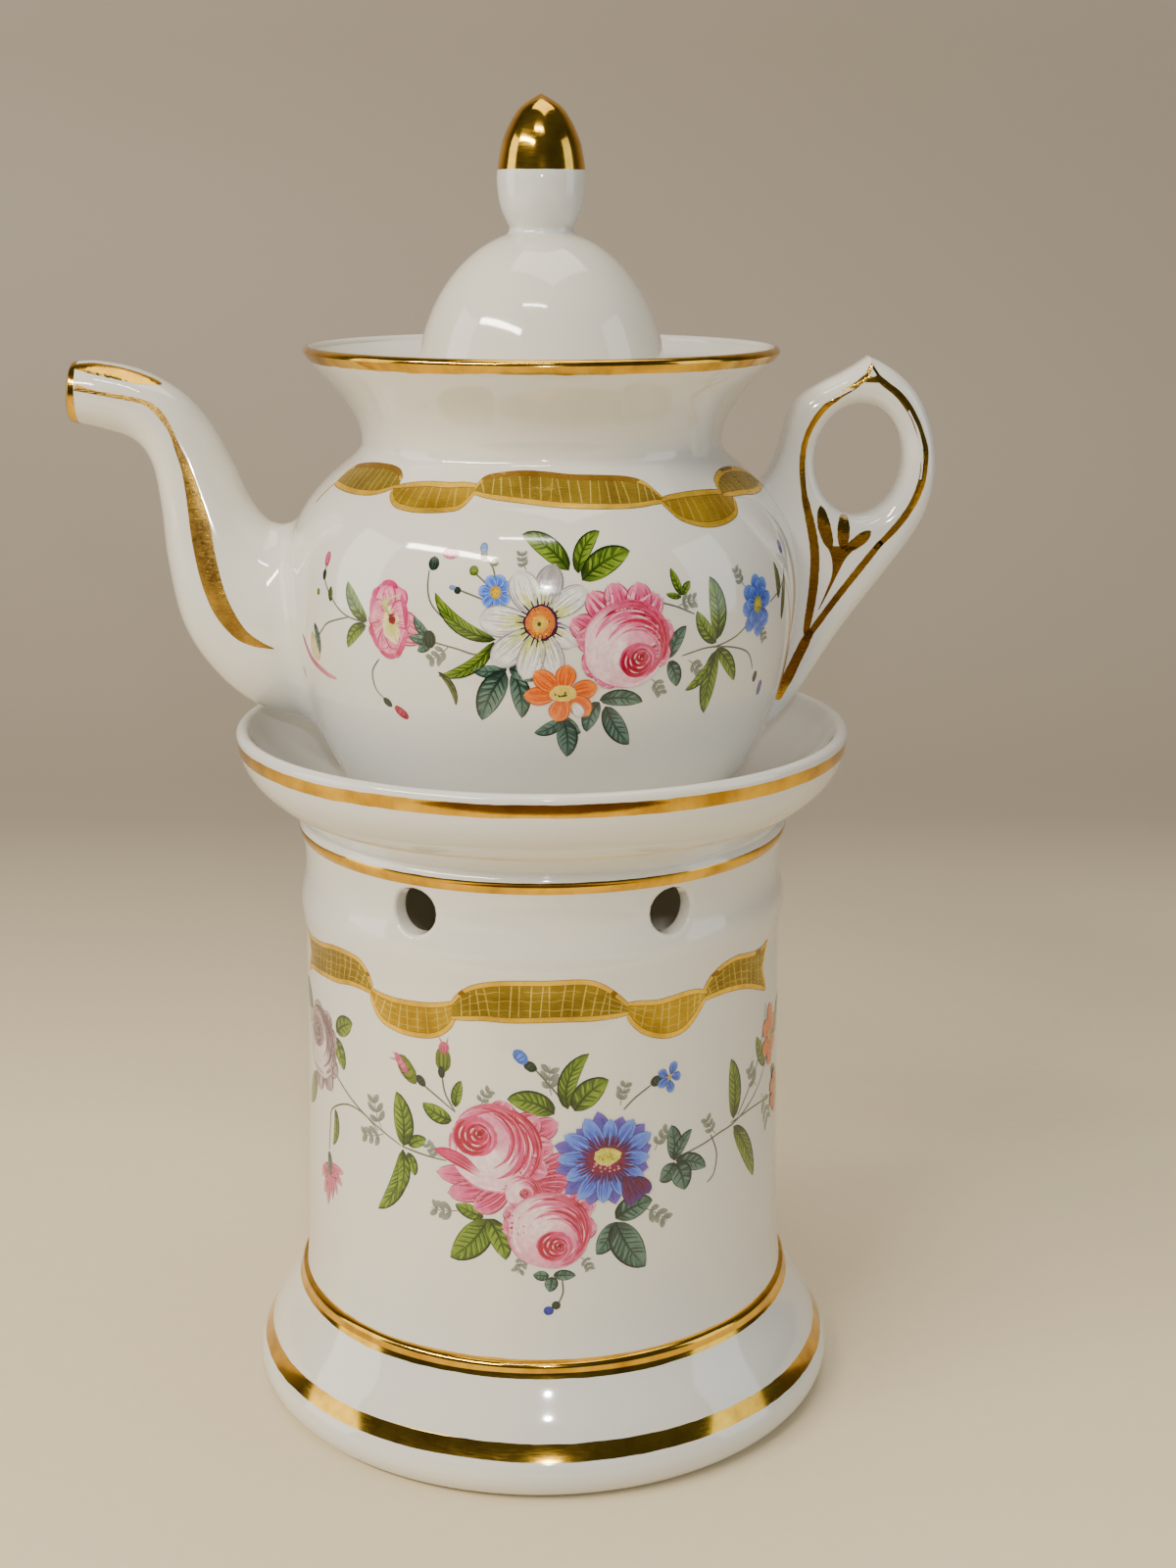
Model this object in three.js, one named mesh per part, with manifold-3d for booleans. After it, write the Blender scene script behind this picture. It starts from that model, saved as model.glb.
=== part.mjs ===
import * as THREE from 'three';
import { mergeVertices } from 'three/addons/utils/BufferGeometryUtils.js';
import Module from 'manifold-3d';

// A porcelain teapot on a burner stand. Millimetres, +Z up, the origin on the stand's
// axis at table level. The spout points to -X, the handle to +X, the painted front to -Y
// and the burner's doorway to +Y.

const wasm = await Module();
wasm.setup();

// Fit of one piece to another
const seamGap = 0.3;
const slideGap = 0.4;

// Stand, from the table up
const wallRadius = 44.9;
const wallThickness = 4;
const footSpread = 11;
const footHeight = 23;
const footBeadRadius = 5;
const footLedgeRise = 10.9;
const footUndercut = 6.5;
const floorThickness = 4;
const floorLedge = 3;
const floorProud = 0.3;
const wallHeight = 86.3;
const mouldingSwell = 0.5;
const mouldingHeight = 9.2;
const ventRadius = 4.2;
const ventDrop = 4.9;
const ventHalfAngle = 30;
const collarHeight = 20.4;
const collarSpread = 11.5;
const collarSeatRise = 3.7;
const collarSeatThickness = 4;
const collarLip = 2.4;
const collarRingHeight = 3.4;

// Doorway at the back, and the burner that passes through it
const doorWidth = 50;
const doorHeadroom = 6;
const doorClearance = 5;
const burnerCupHeight = 27;
const burnerCupWall = 2.6;
const burnerCoverThickness = 2.6;
const burnerCoverLip = 4;
const burnerRingRadius = 7;
const burnerRingThickness = 1.9;
const wickTubeRadius = 3.2;
const wickTubeBore = 2.2;
const wickTubeRise = 7;
const wickTubeDrop = 9;
const wickTubeCollar = 2.4;
const wickTubeCollarHeight = 1.2;
const wickRise = 3;
const wickDepth = 20;

// Pot
const potRadius = 46.7;
const potWall = 3;
const potFootRadius = 29.5;
const potFootWidth = 4;
const potFootHeight = 2.4;
const bellyHeight = 42;
const throatRadius = 32.3;
const throatHeight = 68.1;
const rimRadius = 42.4;
const neckRise = 16.8;
const rimThickness = 2;
const strainerRadius = 2;
const strainerPitch = 7;
const strainerHeight = 36;
const strainerMargin = 3;

// Spout, out from the belly line and down from the rim
const spoutOut = 37.6;
const spoutDrop = 2.9;
const spoutMouthHalf = 5.2;
const spoutRootHalf = 14;
const spoutWall = 2;

// Spout and handle both leave the belly this far below its widest line
const rootDrop = 25.5;

// Handle: a flat pierced plate
const handleOut = 24.4;
const handleDrop = 1.8;
const handleWidth = 31.9;
const handleThickness = 10;
const handleRounding = 2.4;
const handleSideRim = 6.0041;
const handleTopRim = 8.315;

// Lid
const lidSeatRise = 7;
const lidBrimWidth = 2.4;
const lidBrimThickness = 2.6;
const lidFlangeDepth = 9;
const lidFlangeThickness = 2.6;
const domeRadius = 22.4;
const domeHeight = 28;
const domeWall = 3;
const knobRadius = 7.8;
const knobWaist = 5.7;
const knobHeight = 23.5;

// How finely round things are divided
const roundSides = 40;
const lidSides = 32;
const smallSides = 24;
const spoutSides = 16;
const spoutRingCount = 15;

// Heights worked out from the sizes above
const floorTop = footHeight + floorProud;
const wallTop = footHeight + wallHeight;
const potSeat = wallTop + collarSeatRise;
const rimHeight = throatHeight + neckRise;
const lidSeat = throatHeight + lidSeatRise;
const wallInner = wallRadius - wallThickness;
const ventBandFoot = wallTop - ventDrop - ventRadius - mouldingHeight;
const potBore = throatRadius - potWall;
const potFootInner = potFootRadius - potFootWidth;
const shoulderFoot = strainerHeight + strainerPitch + strainerRadius + strainerMargin;
const burnerRadius = doorWidth / 2 - doorClearance;
const burnerTop = burnerCupHeight + burnerCoverThickness + wickTubeRise + wickRise;

const degrees = Math.PI / 180;

const porcelain = { color: 0xece9e2, roughness: 0.12, metalness: 0 };
const biscuit = { color: 0xe2dccd, roughness: 0.75, metalness: 0 };
const brass = { color: 0xb5893c, roughness: 0.3, metalness: 1 };
const cotton = { color: 0xe6dcc4, roughness: 0.95, metalness: 0 };

// Outlines are lists of (radius, height) points, made of straight and curved stretches.

function straight(...pairs) {
  return pairs.map(([radius, height]) => new THREE.Vector2(radius, height));
}

function smooth(divisions, ...pairs) {
  return new THREE.SplineCurve(straight(...pairs)).getPoints(divisions);
}

function bend(divisions, ...pairs) {
  return new THREE.CubicBezierCurve(...straight(...pairs)).getPoints(divisions);
}

function arc(divisions, centre, radii, fromAngle, toAngle) {
  const clockwise = toAngle < fromAngle;
  const curve = new THREE.EllipseCurve(
    centre[0], centre[1], radii[0], radii[1], fromAngle * degrees, toAngle * degrees, clockwise);
  return curve.getPoints(divisions);
}

function outline(...stretches) {
  const points = [];
  for (const point of stretches.flat()) {
    const last = points.at(-1);
    if (!last || last.distanceTo(point) > 1e-3) points.push(point);
  }
  return points;
}

// Moves an outline sideways by a distance, to the left of the way it runs.
function shifted(points, distance) {
  return points.map((point, index) => {
    const before = points[Math.max(index - 1, 0)];
    const after = points[Math.min(index + 1, points.length - 1)];
    const along = after.clone().sub(before).normalize();
    return new THREE.Vector2(point.x - along.y * distance, point.y + along.x * distance);
  });
}

// Closed geometry for booleans: only positions, shared corners, no empty triangles.
function welded(geometry) {
  const bare = geometry.clone();
  bare.deleteAttribute('normal');
  bare.deleteAttribute('uv');
  const merged = mergeVertices(bare, 1e-4);
  const corners = merged.index.array;
  const kept = [];
  for (let i = 0; i < corners.length; i += 3) {
    const [a, b, c] = [corners[i], corners[i + 1], corners[i + 2]];
    if (a !== b && b !== c && c !== a) kept.push(a, b, c);
  }
  merged.setIndex(kept);
  return merged;
}

function signedVolume(geometry) {
  const position = geometry.attributes.position;
  const [a, b, c] = [new THREE.Vector3(), new THREE.Vector3(), new THREE.Vector3()];
  let volume = 0;
  for (let i = 0; i < geometry.index.count; i += 3) {
    a.fromBufferAttribute(position, geometry.index.getX(i));
    b.fromBufferAttribute(position, geometry.index.getX(i + 1));
    c.fromBufferAttribute(position, geometry.index.getX(i + 2));
    volume += a.dot(b.cross(c)) / 6;
  }
  return volume;
}

// The same closed geometry with its faces turned outwards.
function facingOut(geometry) {
  const closed = welded(geometry);
  if (signedVolume(closed) < 0) {
    closed.setIndex(Array.from(closed.index.array).reverse());
  }
  return closed;
}

function solid(geometry) {
  const closed = facingOut(geometry);
  const mesh = new wasm.Mesh({
    numProp: 3,
    vertProperties: Float32Array.from(closed.attributes.position.array),
    triVerts: Uint32Array.from(closed.index.array),
  });
  return new wasm.Manifold(mesh);
}

function surface(manifold) {
  const mesh = manifold.getMesh();
  const geometry = new THREE.BufferGeometry();
  geometry.setAttribute('position', new THREE.BufferAttribute(mesh.vertProperties, 3));
  geometry.setIndex(new THREE.BufferAttribute(mesh.triVerts, 1));
  return geometry;
}

// Turns a closed outline round the Z axis.
function turned(points, sides = roundSides) {
  const geometry = new THREE.LatheGeometry([...points, points[0]], sides);
  return facingOut(geometry.rotateX(Math.PI / 2));
}

// Turns an outline that starts and ends on the Z axis.
function turnedFull(points, sides = roundSides) {
  const geometry = new THREE.LatheGeometry(points, sides);
  return facingOut(geometry.rotateX(Math.PI / 2));
}

function rod(radius, length, sides = smallSides) {
  return new THREE.CylinderGeometry(radius, radius, length, sides);
}

function piece(name, geometry, finish) {
  const flat = geometry.index ? geometry.toNonIndexed() : geometry;
  flat.computeVertexNormals();
  const mesh = new THREE.Mesh(flat, new THREE.MeshStandardMaterial(finish));
  mesh.name = name;
  return mesh;
}

// Stand

// The foot rests on a bead, steps in at a ledge and sweeps up in a cove to the wall.
function standFoot() {
  const outer = wallRadius + footSpread;
  const beadCentre = outer - footBeadRadius;
  const ledgeRadius = outer - 2.6;
  const neckRadius = wallRadius + 2.4;
  const ledgeInner = wallInner - floorLedge;
  const ledgeHeight = floorTop - floorThickness;
  const points = outline(
    straight([beadCentre - footUndercut, 0]),
    arc(5, [beadCentre, footBeadRadius], [footBeadRadius, footBeadRadius], -90, 40),
    bend(5, [ledgeRadius, footLedgeRise],
      [ledgeRadius - 1.6, footLedgeRise + 4], [neckRadius + 2, footHeight - 6],
      [neckRadius, footHeight]),
    straight([wallInner, footHeight], [wallInner, ledgeHeight], [ledgeInner, ledgeHeight],
      [ledgeInner, ledgeHeight - floorThickness]),
  );
  return turned(points);
}

// The floor disc lies on the ledge inside the foot.
function standFloor() {
  const radius = wallInner - seamGap;
  const bottom = floorTop - floorThickness;
  return turnedFull(straight([0, bottom], [radius, bottom], [radius, floorTop], [0, floorTop]));
}

function doorwayCutter() {
  const half = doorWidth / 2;
  const sill = floorTop - 1;
  const springing = floorTop + burnerTop + doorHeadroom - half;
  const shape = new THREE.Shape();
  shape.moveTo(-half, sill);
  shape.lineTo(half, sill);
  shape.lineTo(half, springing);
  shape.absarc(0, springing, half, 0, Math.PI, false);
  shape.lineTo(-half, sill);
  const geometry = new THREE.ExtrudeGeometry(shape, {
    depth: wallRadius + footSpread, bevelEnabled: false, curveSegments: 10,
  });
  // The drawing's depth runs along +Y, and its height along +Z.
  return geometry.rotateX(Math.PI / 2).rotateZ(Math.PI);
}

function ventAngles() {
  const front = -90;
  const back = 90;
  return [front - ventHalfAngle, front + ventHalfAngle, 0, 180,
    back - ventHalfAngle, back + ventHalfAngle];
}

// The wall below the vents, with the doorway in it.
function standWall() {
  const outer = outline(
    bend(4, [wallRadius + 1.6, footHeight], [wallRadius + 0.9, footHeight + 3],
      [wallRadius + 0.7, footHeight + 10], [wallRadius + 0.5, footHeight + 22]),
    straight([wallRadius - 0.2, ventBandFoot - 2], [wallRadius - 0.2, ventBandFoot]),
  );
  const inner = straight([wallInner, ventBandFoot], [wallInner, footHeight]);
  const wall = solid(turned([...outer, ...inner]));
  return surface(wall.subtract(solid(doorwayCutter())));
}

// The band above it swells out in a low moulding and narrows again in the vents' channel.
function standVentBand() {
  const outer = outline(
    smooth(5, [wallRadius - 0.2, ventBandFoot],
      [wallRadius + mouldingSwell * 0.6, ventBandFoot + 3.5],
      [wallRadius + mouldingSwell, ventBandFoot + 6.5], [wallRadius - 0.5, ventBandFoot + 11.5]),
    straight([wallRadius - 0.5, wallTop - 3], [wallRadius - 0.1, wallTop]),
  );
  const inner = straight([wallInner, wallTop], [wallInner, ventBandFoot]);
  let band = solid(turned([...outer, ...inner]));
  for (const angle of ventAngles()) {
    const cutter = rod(ventRadius, wallThickness * 4, 16);
    cutter.rotateZ(-Math.PI / 2).translate(wallRadius, 0, wallTop - ventDrop);
    cutter.rotateZ(angle * degrees);
    band = band.subtract(solid(cutter));
  }
  return surface(band);
}

// The collar: a gilt ring at its foot, a flared outside, and a dish down to the pot's seat.
function standCollar() {
  const lipRadius = wallRadius + collarSpread;
  const top = wallTop + collarHeight;
  const ringTop = wallTop + collarRingHeight;
  const seatEdge = potFootRadius + 2;
  const seatHole = potFootInner - 2;
  const under = potSeat - collarSeatThickness;
  const points = outline(
    straight([wallInner, wallTop], [wallRadius, wallTop], [wallRadius + 0.5, wallTop + 1.4],
      [wallRadius + 0.3, ringTop - 0.6], [wallRadius - 0.2, ringTop]),
    bend(6, [wallRadius - 0.2, ringTop + 0.6], [wallRadius + 3, ringTop + 4],
      [lipRadius - 1.4, ringTop + 6.5], [lipRadius - 0.3, top - 3.4]),
    arc(4, [lipRadius - collarLip / 2, top - collarLip / 2], [collarLip / 2, collarLip / 2], 0, 150),
    bend(6, [lipRadius - collarLip - 0.6, top - 1.8], [lipRadius - collarLip - 4, top - 8],
      [seatEdge + (lipRadius - seatEdge) * 0.33, potSeat + 3], [seatEdge, potSeat]),
    straight([seatHole, potSeat], [seatHole, under], [wallInner - 6, under]),
  );
  return turned(points);
}

// Pot

// The belly is a rounded-square quarter below its widest line and an easy S above it.
function bellyOuter() {
  const footTop = potFootRadius + 0.5;
  const fullness = 2 / 1.65;
  const belly = [];
  const steps = 7;
  for (let i = 0; i <= steps; i += 1) {
    const angle = (i / steps) * 90 * degrees;
    const radius = footTop + (potRadius - footTop) * Math.sin(angle) ** fullness;
    const height = bellyHeight - (bellyHeight - potFootHeight) * Math.cos(angle) ** fullness;
    belly.push([radius, height]);
  }
  return outline(
    straight(...belly),
    bend(6, [potRadius, bellyHeight], [potRadius, bellyHeight + 19],
      [throatRadius, throatHeight - 4], [throatRadius, throatHeight]),
  );
}

function neckOuter() {
  return bend(5, [throatRadius, throatHeight], [throatRadius, throatHeight + 6.5],
    [rimRadius - 3.1, rimHeight - 5.7], [rimRadius, rimHeight - 1]);
}

// The ring that the pot stands on.
function potFoot() {
  return turned(straight([potFootInner, 0], [potFootRadius, 0],
    [potFootRadius + 0.5, potFootHeight], [potFootInner - 0.5, potFootHeight]));
}

// The bowl from its foot up to the throat, with the strainer. Its inside lies one wall's
// thickness in.
function potBowl() {
  const inside = shifted(bellyOuter(), potWall).filter(
    (point) => point.y > potFootHeight + potWall && point.y < throatHeight - 1);
  const points = outline(
    straight([0, potFootHeight]),
    bellyOuter(),
    straight([potBore, throatHeight]),
    inside.reverse(),
    straight([potFootInner, potFootHeight + potWall], [0, potFootHeight + potWall]),
  );
  let bowl = solid(turnedFull(points));
  for (const [across, up] of strainerPlaces()) {
    const cutter = rod(strainerRadius, potWall * 4, 10);
    cutter.rotateZ(Math.PI / 2).translate(-potRadius, across, strainerHeight + up);
    bowl = bowl.subtract(solid(cutter));
  }
  return bowl;
}

// The space over the strainer, which parts the bowl into its body and its shoulder.
function overStrainer() {
  const height = throatHeight;
  const block = rod(potRadius * 2, height);
  return solid(block.rotateX(Math.PI / 2).translate(0, 0, shoulderFoot + height / 2));
}

function potBody() {
  return surface(potBowl().subtract(overStrainer()));
}

function potShoulder() {
  return surface(potBowl().intersect(overStrainer()));
}

// The neck flares from the throat to the rim, with a ledge inside for the lid.
function potNeck() {
  const inside = shifted(neckOuter(), potWall).filter(
    (point) => point.y > lidSeat + 2 && point.y < rimHeight - 3);
  const points = outline(
    neckOuter(),
    arc(3, [rimRadius - rimThickness / 2, rimHeight - 1], [rimThickness / 2, 1], 0, 180),
    inside.reverse(),
    straight([potBore + lidBrimWidth, lidSeat], [potBore, lidSeat], [potBore, throatHeight]),
  );
  return turned(points);
}

// One strainer hole in the middle and a ring of six round it.
function strainerPlaces() {
  const places = [[0, 0]];
  for (let i = 0; i < 6; i += 1) {
    places.push([strainerPitch * Math.cos(i * 60 * degrees), strainerPitch * Math.sin(i * 60 * degrees)]);
  }
  return places;
}

// The pot's outside as one full solid, grown by a gap, that trims the spout and the handle.
function potTrimmer(gap) {
  const grown = shifted(outline(bellyOuter(), neckOuter()), -gap);
  const points = outline(
    straight([0, 0], [potFootRadius, 0]),
    grown,
    straight([0, rimHeight - 1]),
  );
  return solid(turnedFull(points));
}

// Rings along the spout from its mouth to its root. A row holds the place of the ring's
// lower edge, along and up, the place of its upper edge, and its breadth, as shares of the
// spout's own reach, rise and widening.
function spoutStations() {
  const tip = -(potRadius + spoutOut);
  const bottom = bellyHeight - rootDrop;
  const rise = rimHeight - spoutDrop - bottom;
  const place = (along, up) => [tip + along * spoutOut, bottom + up * rise];
  const rows = [
    [0, 0.837, 0.02, 0.997, 0],
    [0.16, 0.816, 0.148, 1, 0.07],
    [0.303, 0.785, 0.353, 0.975, 0.125],
    [0.381, 0.721, 0.541, 0.914, 0.18],
    [0.415, 0.606, 0.672, 0.828, 0.25],
    [0.437, 0.452, 0.762, 0.727, 0.36],
    [0.499, 0.279, 0.843, 0.623, 0.52],
    [0.641, 0.147, 0.938, 0.561, 0.7],
    [0.849, 0.049, 1.067, 0.531, 0.89],
    [1.148, 0, 1.232, 0.506, 1],
  ];
  return rows.map(([lowAlong, lowUp, highAlong, highUp, widening]) => ({
    lower: place(lowAlong, lowUp),
    upper: place(highAlong, highUp),
    across: spoutMouthHalf + widening * (spoutRootHalf - spoutMouthHalf),
  }));
}

// Spreads the stations smoothly into rings, each a centre, an upward half axis and a half width.
function spoutRings(count, wall) {
  const stations = spoutStations();
  const flat = ([x, z]) => new THREE.Vector3(x, 0, z);
  const lower = new THREE.CatmullRomCurve3(stations.map(({ lower: edge }) => flat(edge)));
  const upper = new THREE.CatmullRomCurve3(stations.map(({ upper: edge }) => flat(edge)));
  const widths = new THREE.SplineCurve(
    stations.map(({ across }, index) => new THREE.Vector2(index, across)));
  const rings = [];
  for (let i = 0; i <= count; i += 1) {
    const low = lower.getPoint(i / count);
    const high = upper.getPoint(i / count);
    const centre = low.clone().add(high).multiplyScalar(0.5);
    const rise = high.sub(centre);
    rise.setLength(rise.length() - wall);
    rings.push({ centre, rise, across: widths.getPoint(i / count).y - wall });
  }
  return rings;
}

// A closed skin through elliptical rings that stand across the spout.
function loft(rings, sides) {
  const positions = [];
  const corners = [];
  for (const { centre, rise, across } of rings) {
    for (let i = 0; i < sides; i += 1) {
      const angle = (i / sides) * 2 * Math.PI;
      positions.push(
        centre.x + rise.x * Math.cos(angle),
        across * Math.sin(angle),
        centre.z + rise.z * Math.cos(angle));
    }
  }
  for (let ring = 0; ring < rings.length - 1; ring += 1) {
    for (let i = 0; i < sides; i += 1) {
      const next = (i + 1) % sides;
      const [a, b] = [ring * sides + i, ring * sides + next];
      const [c, d] = [a + sides, b + sides];
      corners.push(a, b, c, b, d, c);
    }
  }
  for (const start of [0, (rings.length - 1) * sides]) {
    for (let i = 1; i < sides - 1; i += 1) {
      const [a, b, c] = [start, start + i, start + i + 1];
      if (start === 0) corners.push(a, c, b);
      else corners.push(a, b, c);
    }
  }
  const geometry = new THREE.BufferGeometry();
  geometry.setAttribute('position', new THREE.Float32BufferAttribute(positions, 3));
  geometry.setIndex(corners);
  return geometry;
}

function potSpout() {
  const outside = solid(loft(spoutRings(spoutRingCount, 0), spoutSides));
  const boreRings = spoutRings(spoutRingCount, spoutWall);
  const mouth = boreRings[0];
  const beyond = mouth.centre.clone().sub(boreRings[1].centre).setLength(2).add(mouth.centre);
  const boreStart = { centre: beyond, rise: mouth.rise, across: mouth.across };
  const bore = solid(loft([boreStart, ...boreRings], spoutSides - 4));
  return surface(outside.subtract(bore).subtract(potTrimmer(seamGap)));
}

// The handle's outline: it leaves the shoulder, rises round the finger hole to a pointed
// top, and sweeps down in a tapering web to the lower belly. Places are shares of the
// handle's own width, inwards, and of its own height, upwards.
function handleShape() {
  const far = potRadius + handleOut;
  const bottom = bellyHeight - rootDrop;
  const height = rimHeight - handleDrop - bottom;
  const inside = potRadius * 0.6;
  const place = (inward, up) => [far - inward * handleWidth, bottom + up * height];
  const shape = new THREE.Shape();
  const sweep = (...places) => shape.bezierCurveTo(...places.flatMap((pair) => place(...pair)));
  shape.moveTo(inside, bottom);
  shape.lineTo(inside, bottom + 0.62 * height);
  shape.lineTo(...place(1, 0.661));
  sweep([0.828, 0.749], [0.911, 0.87], [0.72, 0.914]);
  sweep([0.618, 0.941], [0.516, 0.959], [0.401, 1]);
  sweep([0.274, 0.977], [0.134, 0.929], [0.07, 0.853]);
  sweep([-0.019, 0.756], [-0.025, 0.638], [0.096, 0.542]);
  sweep([0.236, 0.433], [0.433, 0.333], [0.599, 0.204]);
  sweep([0.701, 0.127], [0.783, 0.051], [0.901, 0]);
  shape.closePath();
  // The finger hole leaves a rim of its own width beside it and over it.
  const [holeInward, holeUp] = [0.439, 0.725];
  const holeHalfWidth = holeInward * handleWidth - handleSideRim;
  const holeHalfHeight = (1 - holeUp) * height - handleTopRim;
  const hole = new THREE.Path();
  hole.absellipse(...place(holeInward, holeUp), holeHalfWidth, holeHalfHeight, 0, 2 * Math.PI);
  shape.holes.push(hole);
  return shape;
}

function potHandle() {
  const plate = new THREE.ExtrudeGeometry(handleShape(), {
    depth: handleThickness - 2 * handleRounding,
    bevelThickness: handleRounding,
    bevelSize: handleRounding,
    bevelOffset: -handleRounding,
    bevelSegments: 2,
    curveSegments: 6,
  });
  plate.translate(0, 0, handleRounding - handleThickness / 2);
  plate.rotateX(Math.PI / 2);
  return surface(solid(plate).subtract(potTrimmer(seamGap)));
}

// Lid, measured from its seat in the throat

const domeFoot = 2;
const knobSeat = domeFoot + domeHeight * Math.sqrt(1 - (knobWaist / domeRadius) ** 2);

// A low dome on a flat brim, with a flange that hangs down into the throat.
function lidCap() {
  const brimRadius = potBore + lidBrimWidth - slideGap;
  const flangeRadius = potBore - slideGap;
  const flangeInner = flangeRadius - lidFlangeThickness;
  const knobAngle = Math.acos(knobWaist / domeRadius) / degrees;
  const points = outline(
    straight([flangeInner, -lidFlangeDepth], [flangeRadius, -lidFlangeDepth], [flangeRadius, 0],
      [brimRadius, 0], [brimRadius, lidBrimThickness], [domeRadius + 1.2, lidBrimThickness + 0.4]),
    arc(7, [0, domeFoot], [domeRadius, domeHeight], 6, knobAngle),
    straight([0, knobSeat]),
  );
  const inside = outline(
    arc(6, [0, domeFoot], [domeRadius - domeWall, domeHeight - domeWall], 90, 8),
    straight([flangeInner, -2]),
  );
  return turnedFull([...points, ...inside, points[0]], lidSides);
}

// The knob: a waist, a round bulb and a pointed gilt top.
function lidKnob() {
  const points = outline(
    straight([0, 0], [knobWaist, 0], [knobWaist, 1]),
    smooth(14, [knobWaist, 1], [knobRadius - 0.6, 4.3], [knobRadius, 8.2], [knobRadius - 0.1, 11],
      [knobRadius - 1.2, knobHeight - 7.3], [knobRadius - 4, knobHeight - 2.4],
      [0, knobHeight]),
  );
  return turnedFull(points, smallSides);
}

// Burner, measured from the stand's floor

function cupOutside() {
  return smooth(7, [burnerRadius - 5, 1.6], [burnerRadius - 3.2, 4], [burnerRadius - 1.4, 10],
    [burnerRadius - 0.4, burnerCupHeight - 6], [burnerRadius, burnerCupHeight]);
}

function burnerCup() {
  const inside = shifted(cupOutside(), burnerCupWall).filter(
    (point) => point.y > burnerCupWall + 2 && point.y < burnerCupHeight - 2);
  const points = outline(
    straight([0, 1], [burnerRadius - 8, 1], [burnerRadius - 7.6, 0], [burnerRadius - 5, 0]),
    cupOutside(),
    straight([burnerRadius - burnerCupWall, burnerCupHeight]),
    inside.reverse(),
    straight([burnerRadius - 8, burnerCupWall + 1], [0, burnerCupWall + 1]),
  );
  return turnedFull(points, smallSides);
}

class RingPath extends THREE.Curve {
  getPoint(t, target = new THREE.Vector3()) {
    const angle = (t * 280 - 140) * degrees;
    return target.set(0, burnerRingRadius * Math.cos(angle), burnerRingRadius * Math.sin(angle));
  }
}

// The finger ring ends on the cup's side, towards the doorway.
function burnerHandle() {
  const section = new THREE.Shape();
  section.absarc(0, 0, burnerRingThickness, 0, 2 * Math.PI, false);
  const ring = new THREE.ExtrudeGeometry(section, {
    extrudePath: new RingPath(), steps: 14, curveSegments: 4, bevelEnabled: false,
  });
  ring.translate(0, burnerRadius + burnerRingRadius * 0.6, burnerCupHeight * 0.55);
  const grown = outline(
    straight([0, 0], [burnerRadius - 5 + seamGap, 0]),
    shifted(cupOutside(), -seamGap),
    straight([0, burnerCupHeight]),
  );
  return surface(solid(ring).subtract(solid(turnedFull(grown, smallSides))));
}

// The cover lies on the cup's rim, with a lip inside it and a hole for the wick tube.
function burnerCover() {
  const lipRadius = burnerRadius - burnerCupWall - slideGap;
  const hole = wickTubeRadius + slideGap;
  const points = straight(
    [hole, -burnerCoverLip], [lipRadius, -burnerCoverLip], [lipRadius, 0], [burnerRadius, 0],
    [burnerRadius, burnerCoverThickness * 0.6], [burnerRadius - 3, burnerCoverThickness],
    [hole, burnerCoverThickness]);
  return turned(points, smallSides);
}

// The brass tube hangs by its collar on the cover.
function wickTube() {
  const collar = wickTubeRadius + wickTubeCollar;
  const top = wickTubeRise;
  const points = straight(
    [wickTubeBore, -wickTubeDrop], [wickTubeRadius, -wickTubeDrop], [wickTubeRadius, 0],
    [collar, 0], [collar, wickTubeCollarHeight], [wickTubeRadius, wickTubeCollarHeight],
    [wickTubeRadius, top], [wickTubeBore, top]);
  return turned(points, smallSides - 8);
}

function wick() {
  const radius = wickTubeBore - slideGap / 2;
  const length = wickTubeRise + wickRise + wickDepth;
  const cord = rod(radius, length, 12);
  cord.rotateX(Math.PI / 2).translate(0, 0, wickTubeRise + wickRise - length / 2);
  return facingOut(cord);
}

// Assembly

const stand = new THREE.Group();
stand.add(piece('stand_foot', standFoot(), porcelain));
stand.add(piece('stand_floor', standFloor(), biscuit));
stand.add(piece('stand_wall', standWall(), porcelain));
stand.add(piece('stand_vent_band', standVentBand(), porcelain));
stand.add(piece('stand_collar', standCollar(), porcelain));

const lid = new THREE.Group();
lid.position.z = lidSeat;
const knob = piece('lid_knob', lidKnob(), porcelain);
knob.position.z = knobSeat;
lid.add(piece('lid_cap', lidCap(), porcelain), knob);

const pot = new THREE.Group();
pot.position.z = potSeat;
pot.add(piece('pot_foot', potFoot(), porcelain));
pot.add(piece('pot_body', potBody(), porcelain));
pot.add(piece('pot_shoulder', potShoulder(), porcelain));
pot.add(piece('pot_neck', potNeck(), porcelain));
pot.add(piece('pot_spout', potSpout(), porcelain));
pot.add(piece('pot_handle', potHandle(), porcelain));
pot.add(lid);

const cover = new THREE.Group();
cover.position.z = burnerCupHeight;
const tube = piece('wick_tube', wickTube(), brass);
tube.position.z = burnerCoverThickness;
const cord = piece('wick', wick(), cotton);
cord.position.z = burnerCoverThickness;
cover.add(piece('burner_cover', burnerCover(), porcelain), tube, cord);

const burner = new THREE.Group();
burner.position.z = floorTop;
burner.add(piece('burner_cup', burnerCup(), porcelain));
burner.add(piece('burner_handle', burnerHandle(), porcelain));
burner.add(cover);

const group = new THREE.Group();
group.add(stand, pot, burner);

export default group;
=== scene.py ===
import math
import random
from bisect import bisect

import bmesh
import bpy
from mathutils import Matrix, Vector
from mathutils.bvhtree import BVHTree


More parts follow.
